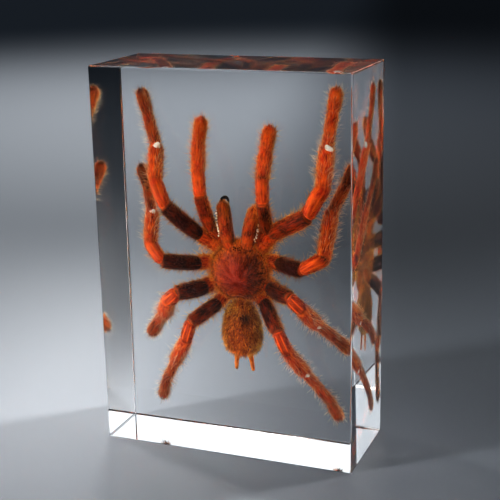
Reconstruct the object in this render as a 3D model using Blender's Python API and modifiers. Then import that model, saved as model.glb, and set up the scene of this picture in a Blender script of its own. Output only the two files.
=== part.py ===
"""A bird spider cast in a clear resin block that stands on its narrow end.

The block is 110 mm tall, 75 mm wide and 30.5 mm deep. Its front faces -Y, and so does the spider's back.
The resin is one casting round the spider, so here it is parted in two halves at the level of the spider's
body, with a pocket of the spider's own form between them. The spider is one fused solid.

Frame: the origin is the middle of the block's bottom face, +Z is up and +X is the right of the front face.
"""

import math

import bmesh
import bpy
from mathutils import Vector

MM = 0.001

# Block, in metres
BLOCK_WIDTH = 75 * MM
BLOCK_DEPTH = 30.5 * MM
BLOCK_HEIGHT = 110 * MM
EDGE_ROUNDING = 0.5 * MM
EDGE_STEPS = 2

# Parting of the resin, in metres
PARTING_Y = 4.5 * MM
PARTING_GAP = 0.3 * MM
CUTTER_MARGIN = 10 * MM

# From here on the spider's sizes are in millimetres of the block's frame
POCKET_CLEARANCE = 0.45
POCKET_ROOT_CLEARANCE = 1.1
BODY_X = 1.2

# The articles of a leg from the body outwards, with the radius of each on a front leg to the tips of its hairs
LEG_ARTICLES = {
    "coxa": 2.3,
    "trochanter": 2.2,
    "femur": 2.75,
    "patella": 2.5,
    "tibia": 2.45,
    "metatarsus": 1.9,
    "tarsus": 1.85,
}
PALP_ARTICLES = {
    "coxa": 2.0,
    "trochanter": 1.9,
    "femur": 2.25,
    "patella": 2.1,
    "tibia": 2.1,
    "tarsus": 1.95,
}

# How thick each pair of limbs is beside the front legs
PAIR_THICKNESS = {"leg_1": 1.0, "leg_2": 0.95, "leg_3": 0.97, "leg_4": 0.9, "palp": 1.0}

# Where each limb's articles meet, from the breastplate to the claw. The feet lie near the back face, the knees
# rise towards the front face, and the body hangs between them.
LIMB_JOINTS = {
    "leg_1_left": (
        (-3.5, 6.5, 56.5),
        (-8.0, 5.5, 60.0),
        (-11.0, 4.0, 61.5),
        (-19.5, -2.5, 70.0),
        (-23.0, -0.5, 77.0),
        (-24.5, 7.0, 86.0),
        (-28.0, 11.0, 94.5),
        (-30.0, 11.9, 101.0),
    ),
    "leg_1_right": (
        (5.5, 6.5, 57.0),
        (8.5, 5.5, 60.5),
        (11.0, 4.0, 63.5),
        (22.5, -2.5, 70.0),
        (26.5, 0.0, 78.0),
        (26.0, 8.0, 87.5),
        (27.0, 11.0, 97.0),
        (28.0, 11.9, 103.0),
    ),
    "leg_2_left": (
        (-4.5, 6.5, 53.0),
        (-9.0, 5.5, 53.5),
        (-11.5, 4.5, 53.0),
        (-21.0, -3.0, 54.0),
        (-25.0, -1.5, 58.5),
        (-26.5, 6.5, 66.5),
        (-29.0, 11.0, 73.5),
        (-31.0, 11.9, 79.0),
    ),
    "leg_2_right": (
        (6.0, 6.5, 53.5),
        (10.0, 5.5, 55.0),
        (13.0, 4.5, 55.0),
        (21.0, -3.0, 55.0),
        (27.0, -2.0, 58.5),
        (27.5, 7.0, 70.0),
        (30.5, 11.0, 77.0),
        (33.0, 11.9, 82.5),
    ),
    "leg_3_left": (
        (-4.0, 6.5, 49.5),
        (-8.0, 5.5, 47.0),
        (-10.0, 4.5, 46.0),
        (-16.5, -4.0, 45.0),
        (-20.0, -1.5, 42.0),
        (-23.5, 6.0, 36.5),
        (-27.0, 11.0, 32.5),
        (-30.0, 11.9, 28.0),
    ),
    "leg_3_right": (
        (6.0, 6.5, 50.0),
        (8.5, 5.5, 48.5),
        (10.5, 4.0, 47.5),
        (17.5, -4.0, 47.0),
        (20.5, -2.0, 43.5),
        (23.5, 5.5, 38.0),
        (28.0, 11.0, 33.0),
        (32.0, 11.9, 29.5),
    ),
    "leg_4_left": (
        (-2.0, 6.5, 46.5),
        (-4.5, 5.5, 43.5),
        (-6.0, 4.5, 41.5),
        (-12.5, -3.5, 36.5),
        (-15.0, -1.0, 30.5),
        (-21.0, 6.5, 21.0),
        (-25.0, 11.0, 14.5),
        (-27.0, 11.9, 8.0),
    ),
    "leg_4_right": (
        (4.5, 6.5, 46.5),
        (6.5, 5.5, 44.5),
        (8.5, 4.5, 43.0),
        (14.0, -3.5, 36.5),
        (16.0, -1.0, 30.5),
        (20.0, 6.5, 22.5),
        (26.5, 11.0, 13.5),
        (29.0, 11.9, 8.5),
    ),
    "palp_left": (
        (-1.5, 6.5, 58.5),
        (-5.5, 5.5, 61.0),
        (-7.5, 4.0, 63.5),
        (-9.0, -1.5, 73.5),
        (-10.0, 0.5, 79.5),
        (-11.5, 7.0, 87.0),
        (-11.5, 11.0, 93.5),
    ),
    "palp_right": (
        (4.0, 6.5, 59.0),
        (7.5, 5.5, 61.5),
        (9.5, 4.0, 64.0),
        (9.5, -1.5, 72.5),
        (9.0, 0.5, 79.0),
        (8.5, 7.0, 85.5),
        (9.0, 11.0, 92.0),
    ),
}

# Along one article: (share of its length, overhang past that place in radii, share of its radius). Its ends are
# slimmer and run into the next article, which marks the joint.
LONG_PROFILE = ((0.0, -0.35, 0.62), (0.2, 0.0, 0.98), (0.75, 0.0, 1.0), (1.0, 0.35, 0.66))
STRAIGHT_PROFILE = ((0.0, -0.35, 1.0), (1.0, 0.35, 1.0))
SHORT_ARTICLES = ("coxa", "trochanter")
LIMB_SIDES = 6

# The pale pads of soft skin on top of the joint below the shin: limb and radius
JOINT_PADS = {
    "leg_1_left": 1.15,
    "leg_1_right": 1.15,
    "leg_2_left": 0.85,
    "leg_3_right": 0.6,
    "leg_4_right": 0.65,
}
PAD_JOINT = 5
PAD_RISE = 1.05

# The jaws: stations of (place, radius) from the head to the fang's hinge
JAWS = {
    "jaw_left": (
        ((-0.6, 4.6, 56.5), 2.1),
        ((-2.3, 3.6, 60.5), 2.4),
        ((-2.9, 2.8, 65.5), 2.45),
        ((-3.4, 3.2, 69.6), 2.1),
        ((-3.5, 3.6, 71.2), 1.2),
    ),
    "jaw_right": (
        ((2.2, 4.6, 56.5), 2.1),
        ((3.7, 3.6, 60.5), 2.4),
        ((5.0, 2.8, 65.5), 2.45),
        ((5.9, 3.2, 69.2), 2.1),
        ((6.1, 3.6, 70.8), 1.2),
    ),
}
FANGS = {
    "fang_left": (
        ((-3.9, 4.0, 70.6), 0.7),
        ((-3.8, 3.6, 72.4), 0.62),
        ((-2.7, 4.7, 73.3), 0.5),
        ((-1.6, 6.7, 71.4), 0.34),
        ((-1.4, 7.9, 68.6), 0.14),
    ),
    "fang_right": (
        ((6.1, 4.2, 70.0), 0.7),
        ((6.1, 5.8, 70.9), 0.62),
        ((5.6, 7.4, 70.0), 0.5),
        ((4.9, 8.2, 68.0), 0.34),
        ((4.4, 8.3, 65.6), 0.14),
    ),
}
SPINNERETS = {
    "spinneret_left": (
        ((-0.6, 5.6, 28.5), 0.75),
        ((-0.9, 6.2, 25.5), 0.65),
        ((-1.3, 6.6, 21.8), 0.4),
    ),
    "spinneret_right": (
        ((3.1, 5.6, 28.5), 0.75),
        ((3.4, 6.2, 25.5), 0.65),
        ((3.9, 6.6, 21.8), 0.4),
    ),
}
WAIST = (((BODY_X, 4.2, 47.0), 2.0), ((BODY_X, 4.2, 43.5), 1.5), ((BODY_X, 4.4, 39.5), 2.0))

# The back shield, the breastplate under it, and the abdomen: centre and half sizes
CARAPACE_CENTRE = (BODY_X, 4.0, 52.3)
CARAPACE_HALF = (8.6, 4.6, 8.7)
BREAST_HALF_DEPTH = 3.6
HEAD_NARROWING = 0.3
FOVEA_PLACE = (BODY_X, 48.4)
FOVEA_REACH = 2.4
FOVEA_DEPTH = 0.9
ABDOMEN_CENTRE = (BODY_X + 0.1, 4.3, 34.3)
ABDOMEN_HALF = (6.0, 4.9, 8.3)
ABDOMEN_SWELL = 0.16

# Points round and along each ball
CARAPACE_GRID = (16, 10)
ABDOMEN_GRID = (12, 9)
POCKET_GRID = (12, 8)
POCKET_BALL_CLEARANCE = 0.95
PAD_GRID = (6, 4)

SPIDER_COLOUR = (0.30, 0.055, 0.012, 1.0)
SPIDER_ROUGHNESS = 0.6
RESIN_COLOUR = (0.90, 0.94, 0.96, 1.0)
RESIN_ROUGHNESS = 0.02
RESIN_IOR = 1.5


def clear_scene():
    """Removes whatever the startup scene holds."""
    for obj in list(bpy.data.objects):
        bpy.data.objects.remove(obj)


def new_collection(name):
    """A collection in the scene."""
    collection = bpy.data.collections.new(name)
    bpy.context.scene.collection.children.link(collection)
    return collection


def material(name, colour, roughness, transmission=0.0):
    """A Principled material."""
    made = bpy.data.materials.new(name)
    made.use_nodes = True
    shader = made.node_tree.nodes["Principled BSDF"]
    shader.inputs["Base Color"].default_value = colour
    shader.inputs["Roughness"].default_value = roughness
    shader.inputs["Metallic"].default_value = 0.0
    shader.inputs["IOR"].default_value = RESIN_IOR
    shader.inputs["Transmission Weight"].default_value = transmission
    return made


def piece_from_bmesh(name, mesh_data, collection):
    """An object made of a bmesh, whose faces are turned outwards."""
    bmesh.ops.recalc_face_normals(mesh_data, faces=mesh_data.faces)
    mesh = bpy.data.meshes.new(name)
    mesh_data.to_mesh(mesh)
    mesh_data.free()
    piece = bpy.data.objects.new(name, mesh)
    collection.objects.link(piece)
    return piece


def as_helper(piece):
    """Marks a shape that only fuses with or cuts another."""
    piece.hide_render = True
    piece.display_type = "WIRE"
    return piece


def tube(name, stations, collection):
    """A closed tube through stations of (place, radius), given in millimetres."""
    shape = bmesh.new()
    places = [Vector(place) for place, _ in stations]
    heading = places[1] - places[0]
    turn = heading.to_track_quat("Z", "Y")
    rings = []
    for i, (place, radius) in enumerate(stations):
        onward = places[min(i + 1, len(places) - 1)] - places[max(i - 1, 0)]
        turn = heading.rotation_difference(onward) @ turn
        heading = onward
        ring = []
        for side in range(LIMB_SIDES):
            angle = math.tau * (side + 0.5) / LIMB_SIDES
            offset = Vector((radius * math.cos(angle), radius * math.sin(angle), 0))
            ring.append(shape.verts.new((Vector(place) + turn @ offset) * MM))
        rings.append(ring)
    for ring, following in zip(rings, rings[1:]):
        for side in range(LIMB_SIDES):
            other = (side + 1) % LIMB_SIDES
            shape.faces.new((ring[side], ring[other], following[other], following[side]))
    shape.faces.new(reversed(rings[0]))
    shape.faces.new(rings[-1])
    return as_helper(piece_from_bmesh(name, shape, collection))


def ball(name, centre, half_sizes, grid, collection, shape_point=None):
    """A ball with its poles along the body, shaped point by point and stretched to half sizes in millimetres."""
    shape = bmesh.new()
    bmesh.ops.create_uvsphere(shape, u_segments=grid[0], v_segments=grid[1], radius=1)
    for vert in shape.verts:
        unit = shape_point(vert.co.copy()) if shape_point else vert.co
        place = [centre[i] + unit[i] * half_sizes[i] for i in range(3)]
        vert.co = Vector(place) * MM
    return as_helper(piece_from_bmesh(name, shape, collection))


def limb_shapes(prefix, name, clearance, collection):
    """Adds one limb to the collection, an article at a time. A pocket's are thicker, its first two in one."""
    pair = name.rsplit("_", 1)[0]
    articles = dict(PALP_ARTICLES if pair == "palp" else LEG_ARTICLES)
    joints = [Vector(joint) for joint in LIMB_JOINTS[name]]
    if clearance:
        del articles["trochanter"]
        del joints[1]
    for start, end, (article, radius) in zip(joints, joints[1:], articles.items()):
        radius *= PAIR_THICKNESS[pair]
        plain = clearance or article in SHORT_ARTICLES
        heading = (end - start).normalized()
        stations = []
        for along, overhang, share in STRAIGHT_PROFILE if plain else LONG_PROFILE:
            place = start.lerp(end, along) + heading * overhang * radius
            stations.append((place, radius * share))
        gap = POCKET_ROOT_CLEARANCE if clearance and article == "coxa" else clearance
        tube(f"{prefix}{name}_{article}", thickened(stations, gap), collection)


def pad_place(name):
    """The middle of a limb's pale joint pad: on the joint, raised towards the front face."""
    pair = name.rsplit("_", 1)[0]
    rise = LEG_ARTICLES["metatarsus"] * PAIR_THICKNESS[pair] * PAD_RISE
    joint = Vector(LIMB_JOINTS[name][PAD_JOINT])
    shin = (joint - Vector(LIMB_JOINTS[name][PAD_JOINT - 1])).normalized()
    upward = Vector((0, -1, 0))
    upward = (upward - shin * upward.dot(shin)).normalized()
    return joint + upward * rise


def shield_point(unit):
    """The body's front part from a unit ball: narrow at the head, domed above and flatter below."""
    x, y, z = unit
    if z > 0:
        x *= 1 - HEAD_NARROWING * z * z
    if y > 0:
        y *= BREAST_HALF_DEPTH / CARAPACE_HALF[1]
    return (x, y, z)


def pitted_shield_point(unit):
    """The same with the pit behind the middle of the back shield."""
    x, y, z = shield_point(unit)
    if y < 0:
        across = x * CARAPACE_HALF[0]
        along = z * CARAPACE_HALF[2] + CARAPACE_CENTRE[2] - FOVEA_PLACE[1]
        near = math.exp(-(across**2 + along**2) / FOVEA_REACH**2)
        y += near * FOVEA_DEPTH / CARAPACE_HALF[1]
    return (x, y, z)


def abdomen_point(unit):
    """The abdomen from a unit ball: slimmer by the waist, fuller behind."""
    x, y, z = unit
    swell = 1 - ABDOMEN_SWELL * z
    return (x * swell, y * swell, z)


def grown(half_sizes, clearance):
    """Half sizes with a clearance added all round."""
    return tuple(half + clearance for half in half_sizes)


def thickened(stations, clearance):
    """A tube's stations with a clearance added round it and past both its ends."""
    places = [Vector(place) for place, _ in stations]
    places[0] += (places[0] - places[1]).normalized() * clearance
    places[-1] += (places[-1] - places[-2]).normalized() * clearance
    return [(place, radius + clearance) for place, (_, radius) in zip(places, stations)]


def fuse(base, shapes):
    """Joins every shape of a collection to the base."""
    join = base.modifiers.new("with_" + shapes.name, "BOOLEAN")
    join.operation = "UNION"
    join.operand_type = "COLLECTION"
    join.collection = shapes


def slender_shapes(prefix, clearance, collection):
    """Adds the waist, jaws, fangs, spinnerets, limbs and joint pads, grown by the clearance."""
    runs = {"waist": WAIST, **JAWS, **FANGS, **SPINNERETS}
    for name, stations in runs.items():
        tube(prefix + name, thickened(stations, clearance), collection)
    for name in LIMB_JOINTS:
        limb_shapes(prefix, name, clearance, collection)
    for name, radius in JOINT_PADS.items():
        half_sizes = grown((radius,) * 3, clearance)
        ball(prefix + name + "_pad", pad_place(name), half_sizes, PAD_GRID, collection)


def build_spider(part):
    """The spider as one fused solid."""
    shapes = new_collection("spider_shapes")
    spider = ball("tarantula", CARAPACE_CENTRE, CARAPACE_HALF, CARAPACE_GRID, part, pitted_shield_point)
    spider.hide_render = False
    spider.display_type = "TEXTURED"
    ball("form_abdomen", ABDOMEN_CENTRE, ABDOMEN_HALF, ABDOMEN_GRID, shapes, abdomen_point)
    slender_shapes("form_", 0.0, shapes)
    fuse(spider, shapes)
    spider.data.materials.append(material("dried_spider", SPIDER_COLOUR, SPIDER_ROUGHNESS))


def build_pocket():
    """The collection of shapes that make up the hollow that the spider fills."""
    shapes = new_collection("pocket_shapes")
    shield_half = grown(CARAPACE_HALF, POCKET_BALL_CLEARANCE)
    ball("pocket_shield", CARAPACE_CENTRE, shield_half, POCKET_GRID, shapes, shield_point)
    abdomen_half = grown(ABDOMEN_HALF, POCKET_BALL_CLEARANCE)
    ball("pocket_abdomen", ABDOMEN_CENTRE, abdomen_half, POCKET_GRID, shapes, abdomen_point)
    slender_shapes("pocket_", POCKET_CLEARANCE, shapes)
    return shapes


def block_shape(name, collection):
    """The whole block, with rounded edges, standing on its narrow end."""
    shape = bmesh.new()
    bmesh.ops.create_cube(shape, size=1)
    for vert in shape.verts:
        vert.co.x *= BLOCK_WIDTH
        vert.co.y *= BLOCK_DEPTH
        vert.co.z = (vert.co.z + 0.5) * BLOCK_HEIGHT
    block = piece_from_bmesh(name, shape, collection)
    rounding = block.modifiers.new("rounded_edges", "BEVEL")
    rounding.width = EDGE_ROUNDING
    rounding.segments = EDGE_STEPS
    return block


def slab_cutter(name, low_y, high_y, collection):
    """A box across the whole block between two depths."""
    shape = bmesh.new()
    bmesh.ops.create_cube(shape, size=1)
    for vert in shape.verts:
        vert.co.x *= BLOCK_WIDTH + CUTTER_MARGIN
        vert.co.y = low_y if vert.co.y < 0 else high_y
        vert.co.z = vert.co.z * (BLOCK_HEIGHT + CUTTER_MARGIN) + BLOCK_HEIGHT / 2
    as_helper(piece_from_bmesh(name, shape, collection))


def build_resin(part, pocket_shapes):
    """The front and back halves of the casting, parted at the spider's body."""
    resin = material("clear_resin", RESIN_COLOUR, RESIN_ROUGHNESS, transmission=1.0)
    far = BLOCK_DEPTH / 2 + CUTTER_MARGIN
    reaches = {
        "resin_front": (PARTING_Y - PARTING_GAP / 2, far),
        "resin_back": (-far, PARTING_Y + PARTING_GAP / 2),
    }
    for name, (low_y, high_y) in reaches.items():
        cutters = new_collection("away_from_" + name)
        cutters.children.link(pocket_shapes)
        slab_cutter("beyond_" + name, low_y, high_y, cutters)
        half = block_shape(name, part)
        away = half.modifiers.new("parting_and_pocket", "BOOLEAN")
        away.operation = "DIFFERENCE"
        away.operand_type = "COLLECTION"
        away.collection = cutters
        half.data.materials.append(resin)


def main():
    """Builds the resin block and the spider in it."""
    clear_scene()
    part = new_collection("spider_in_resin")
    build_spider(part)
    build_resin(part, build_pocket())


main()
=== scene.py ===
"""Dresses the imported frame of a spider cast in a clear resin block.

The frame's resin halves are shown as one clear block, and its spider as limbs, shields, jaws and
bristles. The spider's sizes are in millimetres until a mesh is made. All others are in metres.
"""

import logging
import math
from collections.abc import Sequence
from dataclasses import dataclass, field, replace
from enum import Enum

import bmesh
import bpy
import numpy as np
from mathutils import Matrix, Vector


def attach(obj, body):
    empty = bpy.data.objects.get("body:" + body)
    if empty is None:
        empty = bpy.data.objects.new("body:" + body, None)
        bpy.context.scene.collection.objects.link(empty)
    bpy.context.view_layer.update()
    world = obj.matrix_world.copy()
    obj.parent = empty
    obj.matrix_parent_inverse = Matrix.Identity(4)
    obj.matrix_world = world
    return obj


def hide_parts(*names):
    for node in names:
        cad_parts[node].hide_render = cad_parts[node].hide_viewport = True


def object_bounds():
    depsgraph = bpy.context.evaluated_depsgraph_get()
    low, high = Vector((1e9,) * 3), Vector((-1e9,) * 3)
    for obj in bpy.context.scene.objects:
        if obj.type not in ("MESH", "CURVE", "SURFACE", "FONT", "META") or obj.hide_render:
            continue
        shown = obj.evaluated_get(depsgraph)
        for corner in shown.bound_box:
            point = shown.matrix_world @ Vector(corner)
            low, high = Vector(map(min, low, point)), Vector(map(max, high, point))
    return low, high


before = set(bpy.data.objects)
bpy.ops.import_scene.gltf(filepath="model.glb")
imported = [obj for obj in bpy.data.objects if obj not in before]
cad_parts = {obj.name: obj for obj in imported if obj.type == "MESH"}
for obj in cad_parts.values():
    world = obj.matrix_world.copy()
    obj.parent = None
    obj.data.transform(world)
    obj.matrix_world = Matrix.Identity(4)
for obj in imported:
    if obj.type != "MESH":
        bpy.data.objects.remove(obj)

LOG = logging.getLogger("spider_in_resin")
MM = 0.001
ROOT_BODY = "root"
SPIDER_NODE = "tarantula"
RESIN_NODES = ("resin_front", "resin_back")
CAD_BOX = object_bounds()

Triple = tuple[float, float, float]
Colour = tuple[float, float, float, float]
UPWARD = np.array((0.0, -1.0, 0.0))  # where the spider's back faces


class Article(Enum):
    """The articles of a limb, from the body outwards."""

    COXA = "coxa"
    TROCHANTER = "trochanter"
    FEMUR = "femur"
    PATELLA = "patella"
    TIBIA = "tibia"
    METATARSUS = "metatarsus"
    TARSUS = "tarsus"


class Slot(Enum):
    """The record's material slots."""

    RESIN = "resin"
    SPECIMEN = "specimen"


# Shader building


class NodeSheet:
    """A node tree with short calls to add nodes and join their sockets."""

    def __init__(self, tree: bpy.types.NodeTree) -> None:
        """Takes the tree to work on.

        Args:
            tree: The material's, group's or modifier's node tree.
        """
        self.tree = tree

    def add(self, kind: str, inputs: dict | None = None, **settings: object) -> bpy.types.Node:
        """Adds a node.

        Args:
            kind: The node's type name.
            inputs: Values or other nodes' outputs, by input name or number.
            **settings: Properties set on the node before its inputs.

        Returns:
            The node.
        """
        node = self.tree.nodes.new(kind)
        for name, value in settings.items():
            setattr(node, name, value)
        for name, value in (inputs or {}).items():
            self.feed(node.inputs[name], value)
        return node

    def feed(self, socket: bpy.types.NodeSocket, value: object) -> None:
        """Sets a socket, or links it where the value is an output of another node.

        Args:
            socket: The input to feed.
            value: A plain value or an output socket.
        """
        if isinstance(value, bpy.types.NodeSocket):
            self.tree.links.new(value, socket)
        else:
            socket.default_value = value

    def maths(self, operation: str, first: object, second: object = 0.0, clamp: bool = False) -> object:
        """A Math node's output.

        Args:
            operation: The Math node's operation.
            first: Its first value or socket.
            second: Its second value or socket.
            clamp: Whether the result is kept between 0 and 1.

        Returns:
            The output socket.
        """
        node = self.add("ShaderNodeMath", {0: first, 1: second}, operation=operation, use_clamp=clamp)
        return node.outputs[0]

    def product(self, *factors: object) -> object:
        """Multiplies numbers.

        Args:
            factors: Sockets or plain numbers.

        Returns:
            The product's output socket.
        """
        made = factors[0]
        for factor in factors[1:]:
            made = self.maths("MULTIPLY", made, factor)
        return made

    def vector(self, operation: str, first: object, second: object) -> object:
        """A Vector Math node's output.

        Args:
            operation: The node's operation.
            first: Its first vector.
            second: Its second vector, or the number that scales the first.

        Returns:
            The output socket.
        """
        node = self.add("ShaderNodeVectorMath", {0: first}, operation=operation)
        self.feed(node.inputs["Scale" if operation == "SCALE" else 1], second)
        return node.outputs[0]

    def blend(self, share: object, low: object, high: object) -> object:
        """A colour between two others.

        Args:
            share: How much of the second colour there is.
            low: The colour at 0.
            high: The colour at 1.

        Returns:
            The output socket.
        """
        node = self.add("ShaderNodeMix", data_type="RGBA", clamp_factor=True)
        self.feed(node.inputs[0], share)
        self.feed(node.inputs[6], low)
        self.feed(node.inputs[7], high)
        return node.outputs[2]

    def span(
        self, value: object, low: object, high: object, to_low: float = 0.0, to_high: float = 1.0
    ) -> object:
        """A value moved smoothly from one range to another.

        Args:
            value: The socket to move.
            low: Where the old range starts.
            high: Where the old range ends.
            to_low: Where the new range starts.
            to_high: Where the new range ends.

        Returns:
            The output socket.
        """
        inputs = {0: value, 1: low, 2: high, 3: to_low, 4: to_high}
        node = self.add("ShaderNodeMapRange", inputs, interpolation_type="SMOOTHSTEP")
        return node.outputs[0]


def new_group(name: str, inputs: dict[str, tuple[str, object]], outputs: dict[str, str]) -> NodeSheet:
    """A shader node group with named sockets.

    Args:
        name: The group's name.
        inputs: Socket kind and default by input name.
        outputs: Socket kind by output name.

    Returns:
        The group's sheet, whose nodes hold a group input and a group output.
    """
    tree = bpy.data.node_groups.new(name, "ShaderNodeTree")
    for label, (kind, default) in inputs.items():
        socket = tree.interface.new_socket(name=label, in_out="INPUT", socket_type=kind)
        if default is not None:
            socket.default_value = default
    for label, kind in outputs.items():
        tree.interface.new_socket(name=label, in_out="OUTPUT", socket_type=kind)
    tree.nodes.new("NodeGroupInput")
    tree.nodes.new("NodeGroupOutput")
    return NodeSheet(tree)


def hair_streaks_group() -> bpy.types.NodeTree:
    """Fine streaks that lie along a limb, as its flat-lying hairs do.

    Returns:
        The group, which takes a limb's own map and puts out a mask.
    """
    inputs = {
        "Map": ("NodeSocketVector", None),
        "Around": ("NodeSocketFloat", 24.0),
        "Along": ("NodeSocketFloat", 0.3),
    }
    sheet = new_group("hair_streaks", inputs, {"Mask": "NodeSocketFloat"})
    entry = sheet.tree.nodes["Group Input"]
    counts = {0: entry.outputs["Around"], 1: entry.outputs["Along"], 2: 1.0}
    stretch = sheet.add("ShaderNodeCombineXYZ", counts).outputs[0]
    laid = sheet.vector("MULTIPLY", entry.outputs["Map"], stretch)
    noise_inputs = {"Vector": laid, "Scale": 1.0, "Detail": 3.0, "Roughness": 0.65}
    noise = sheet.add("ShaderNodeTexNoise", noise_inputs)
    mask = sheet.span(noise.outputs[0], 0.4, 0.6)
    sheet.feed(sheet.tree.nodes["Group Output"].inputs["Mask"], mask)
    return sheet.tree


def mottle_group() -> bpy.types.NodeTree:
    """Soft uneven patches, as on any grown skin.

    Returns:
        The group, which takes a place in metres and puts out a mask.
    """
    inputs = {
        "Place": ("NodeSocketVector", None),
        "Patches per metre": ("NodeSocketFloat", 500.0),
        "Low": ("NodeSocketFloat", 0.35),
        "High": ("NodeSocketFloat", 0.68),
    }
    sheet = new_group("mottle", inputs, {"Mask": "NodeSocketFloat"})
    entry = sheet.tree.nodes["Group Input"]
    noise_inputs = {
        "Vector": entry.outputs["Place"],
        "Scale": entry.outputs["Patches per metre"],
        "Detail": 4.0,
        "Roughness": 0.6,
    }
    noise = sheet.add("ShaderNodeTexNoise", noise_inputs)
    mask = sheet.span(noise.outputs[0], entry.outputs["Low"], entry.outputs["High"])
    sheet.feed(sheet.tree.nodes["Group Output"].inputs["Mask"], mask)
    return sheet.tree


@dataclass
class PatternGroups:
    """The node groups that more than one finish uses."""

    streaks: bpy.types.NodeTree = field(default_factory=hair_streaks_group)
    mottle: bpy.types.NodeTree = field(default_factory=mottle_group)

    def patches(self, sheet: NodeSheet, place: object, per_metre: float = 500.0) -> object:
        """The mask of the uneven patches, in a finish.

        Args:
            sheet: The material's sheet.
            place: The socket of the place in metres.
            per_metre: How many patches lie in a metre.

        Returns:
            The mask's socket.
        """
        inputs = {"Place": place, "Patches per metre": per_metre}
        return sheet.add("ShaderNodeGroup", inputs, node_tree=self.mottle).outputs["Mask"]


def start_material(name: str) -> tuple[NodeSheet, bpy.types.Node, bpy.types.Material]:
    """A material with its Principled shader.

    Args:
        name: The material's name.

    Returns:
        Its sheet, the shader node and the material.
    """
    made = bpy.data.materials.new(name)
    made.use_nodes = True
    return NodeSheet(made.node_tree), made.node_tree.nodes["Principled BSDF"], made


def attribute(sheet: NodeSheet, name: str) -> object:
    """The number that a mesh holds at each point under a name.

    Args:
        sheet: The material's sheet.
        name: The attribute's name.

    Returns:
        The output socket.
    """
    return sheet.add("ShaderNodeAttribute", attribute_name=name, attribute_type="GEOMETRY").outputs["Fac"]


@dataclass(frozen=True)
class HideFinish:
    """The spider's skin with its flat-lying hairs, dusky or striped where the mesh says so, with painted
    shade and painted rim light.
    """

    name: str
    deep: Colour = (0.22, 0.008, 0.002, 1.0)
    bright: Colour = (0.56, 0.04, 0.003, 1.0)
    gold: Colour = (0.95, 0.30, 0.02, 1.0)
    dusk: Colour = (0.014, 0.002, 0.001, 1.0)
    pale: Colour = (0.88, 0.17, 0.02, 1.0)
    ruby: Colour = (0.15, 0.004, 0.002, 1.0)
    streaks_around: float = 24.0
    roughness: tuple[float, float] = (0.32, 0.55)
    relief_mm: float = 0.12
    dusk_depth: float = 1.4
    dusk_streaks: float = 0.4
    bare_polish: float = 0.15
    stripe_place: float = 0.07
    stripe_width: float = 0.03

    def make(self, groups: PatternGroups) -> bpy.types.Material:
        """Builds the material.

        Args:
            groups: The shared patterns.

        Returns:
            The material.
        """
        sheet, shader, made = start_material(self.name)
        place = sheet.add("ShaderNodeTexCoord").outputs
        comb = sheet.add("ShaderNodeGroup", node_tree=groups.streaks)
        sheet.feed(comb.inputs["Map"], place["UV"])
        sheet.feed(comb.inputs["Around"], self.streaks_around)
        streak = comb.outputs["Mask"]
        mottle = groups.patches(sheet, place["Object"])
        colour = sheet.blend(mottle, self.deep, self.bright)
        colour = sheet.blend(attribute(sheet, "bare"), colour, self.ruby)
        # gilding is stronger at the flanks by the side mark: painted rim light over the hairs' own golden
        # streaks.
        gilding = sheet.maths("ADD", sheet.product(attribute(sheet, "side"), 0.5), 0.5)
        gilding = sheet.product(gilding, attribute(sheet, "gilt"), streak)
        colour = sheet.blend(gilding, colour, self.gold)
        # dusk: the spider's own dark colouring, with painted shade on the undersides and on the shield's
        # right half.
        dusk = sheet.product(attribute(sheet, "dusk"), self.dusk_depth)
        shade = sheet.maths("SUBTRACT", dusk, sheet.product(streak, self.dusk_streaks), clamp=True)
        colour = sheet.blend(shade, colour, self.dusk)
        stripes = self._stripes(sheet, place["UV"])
        pale = sheet.maths("ADD", stripes, attribute(sheet, "pale"), clamp=True)
        colour = sheet.blend(pale, colour, self.pale)
        sheet.feed(shader.inputs["Base Color"], colour)
        rough = sheet.span(mottle, 0.0, 1.0, *self.roughness)
        polish = sheet.product(attribute(sheet, "bare"), self.bare_polish)
        sheet.feed(shader.inputs["Roughness"], sheet.maths("SUBTRACT", rough, polish))
        height = sheet.maths("ADD", streak, mottle)
        bump_inputs = {"Height": height, "Distance": self.relief_mm * MM, "Strength": 0.6}
        bump = sheet.add("ShaderNodeBump", bump_inputs)
        sheet.feed(shader.inputs["Normal"], bump.outputs[0])
        shader.inputs["Specular IOR Level"].default_value = 0.1
        return made

    def _stripes(self, sheet: NodeSheet, limb_map: object) -> object:
        """Two fine lines along the top of a limb, as strong as the mesh says.

        Args:
            sheet: The material's sheet.
            limb_map: The limb's own map.

        Returns:
            The output socket of their mask.
        """
        parts = sheet.add("ShaderNodeSeparateXYZ", {0: limb_map})
        from_top = sheet.maths("ABSOLUTE", sheet.maths("SUBTRACT", parts.outputs["X"], 0.5))
        off = sheet.maths("ABSOLUTE", sheet.maths("SUBTRACT", from_top, self.stripe_place))
        line = sheet.span(off, 0.25 * self.stripe_width, self.stripe_width, 1.0, 0.0)
        return sheet.product(line, attribute(sheet, "stripe"))


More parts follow.
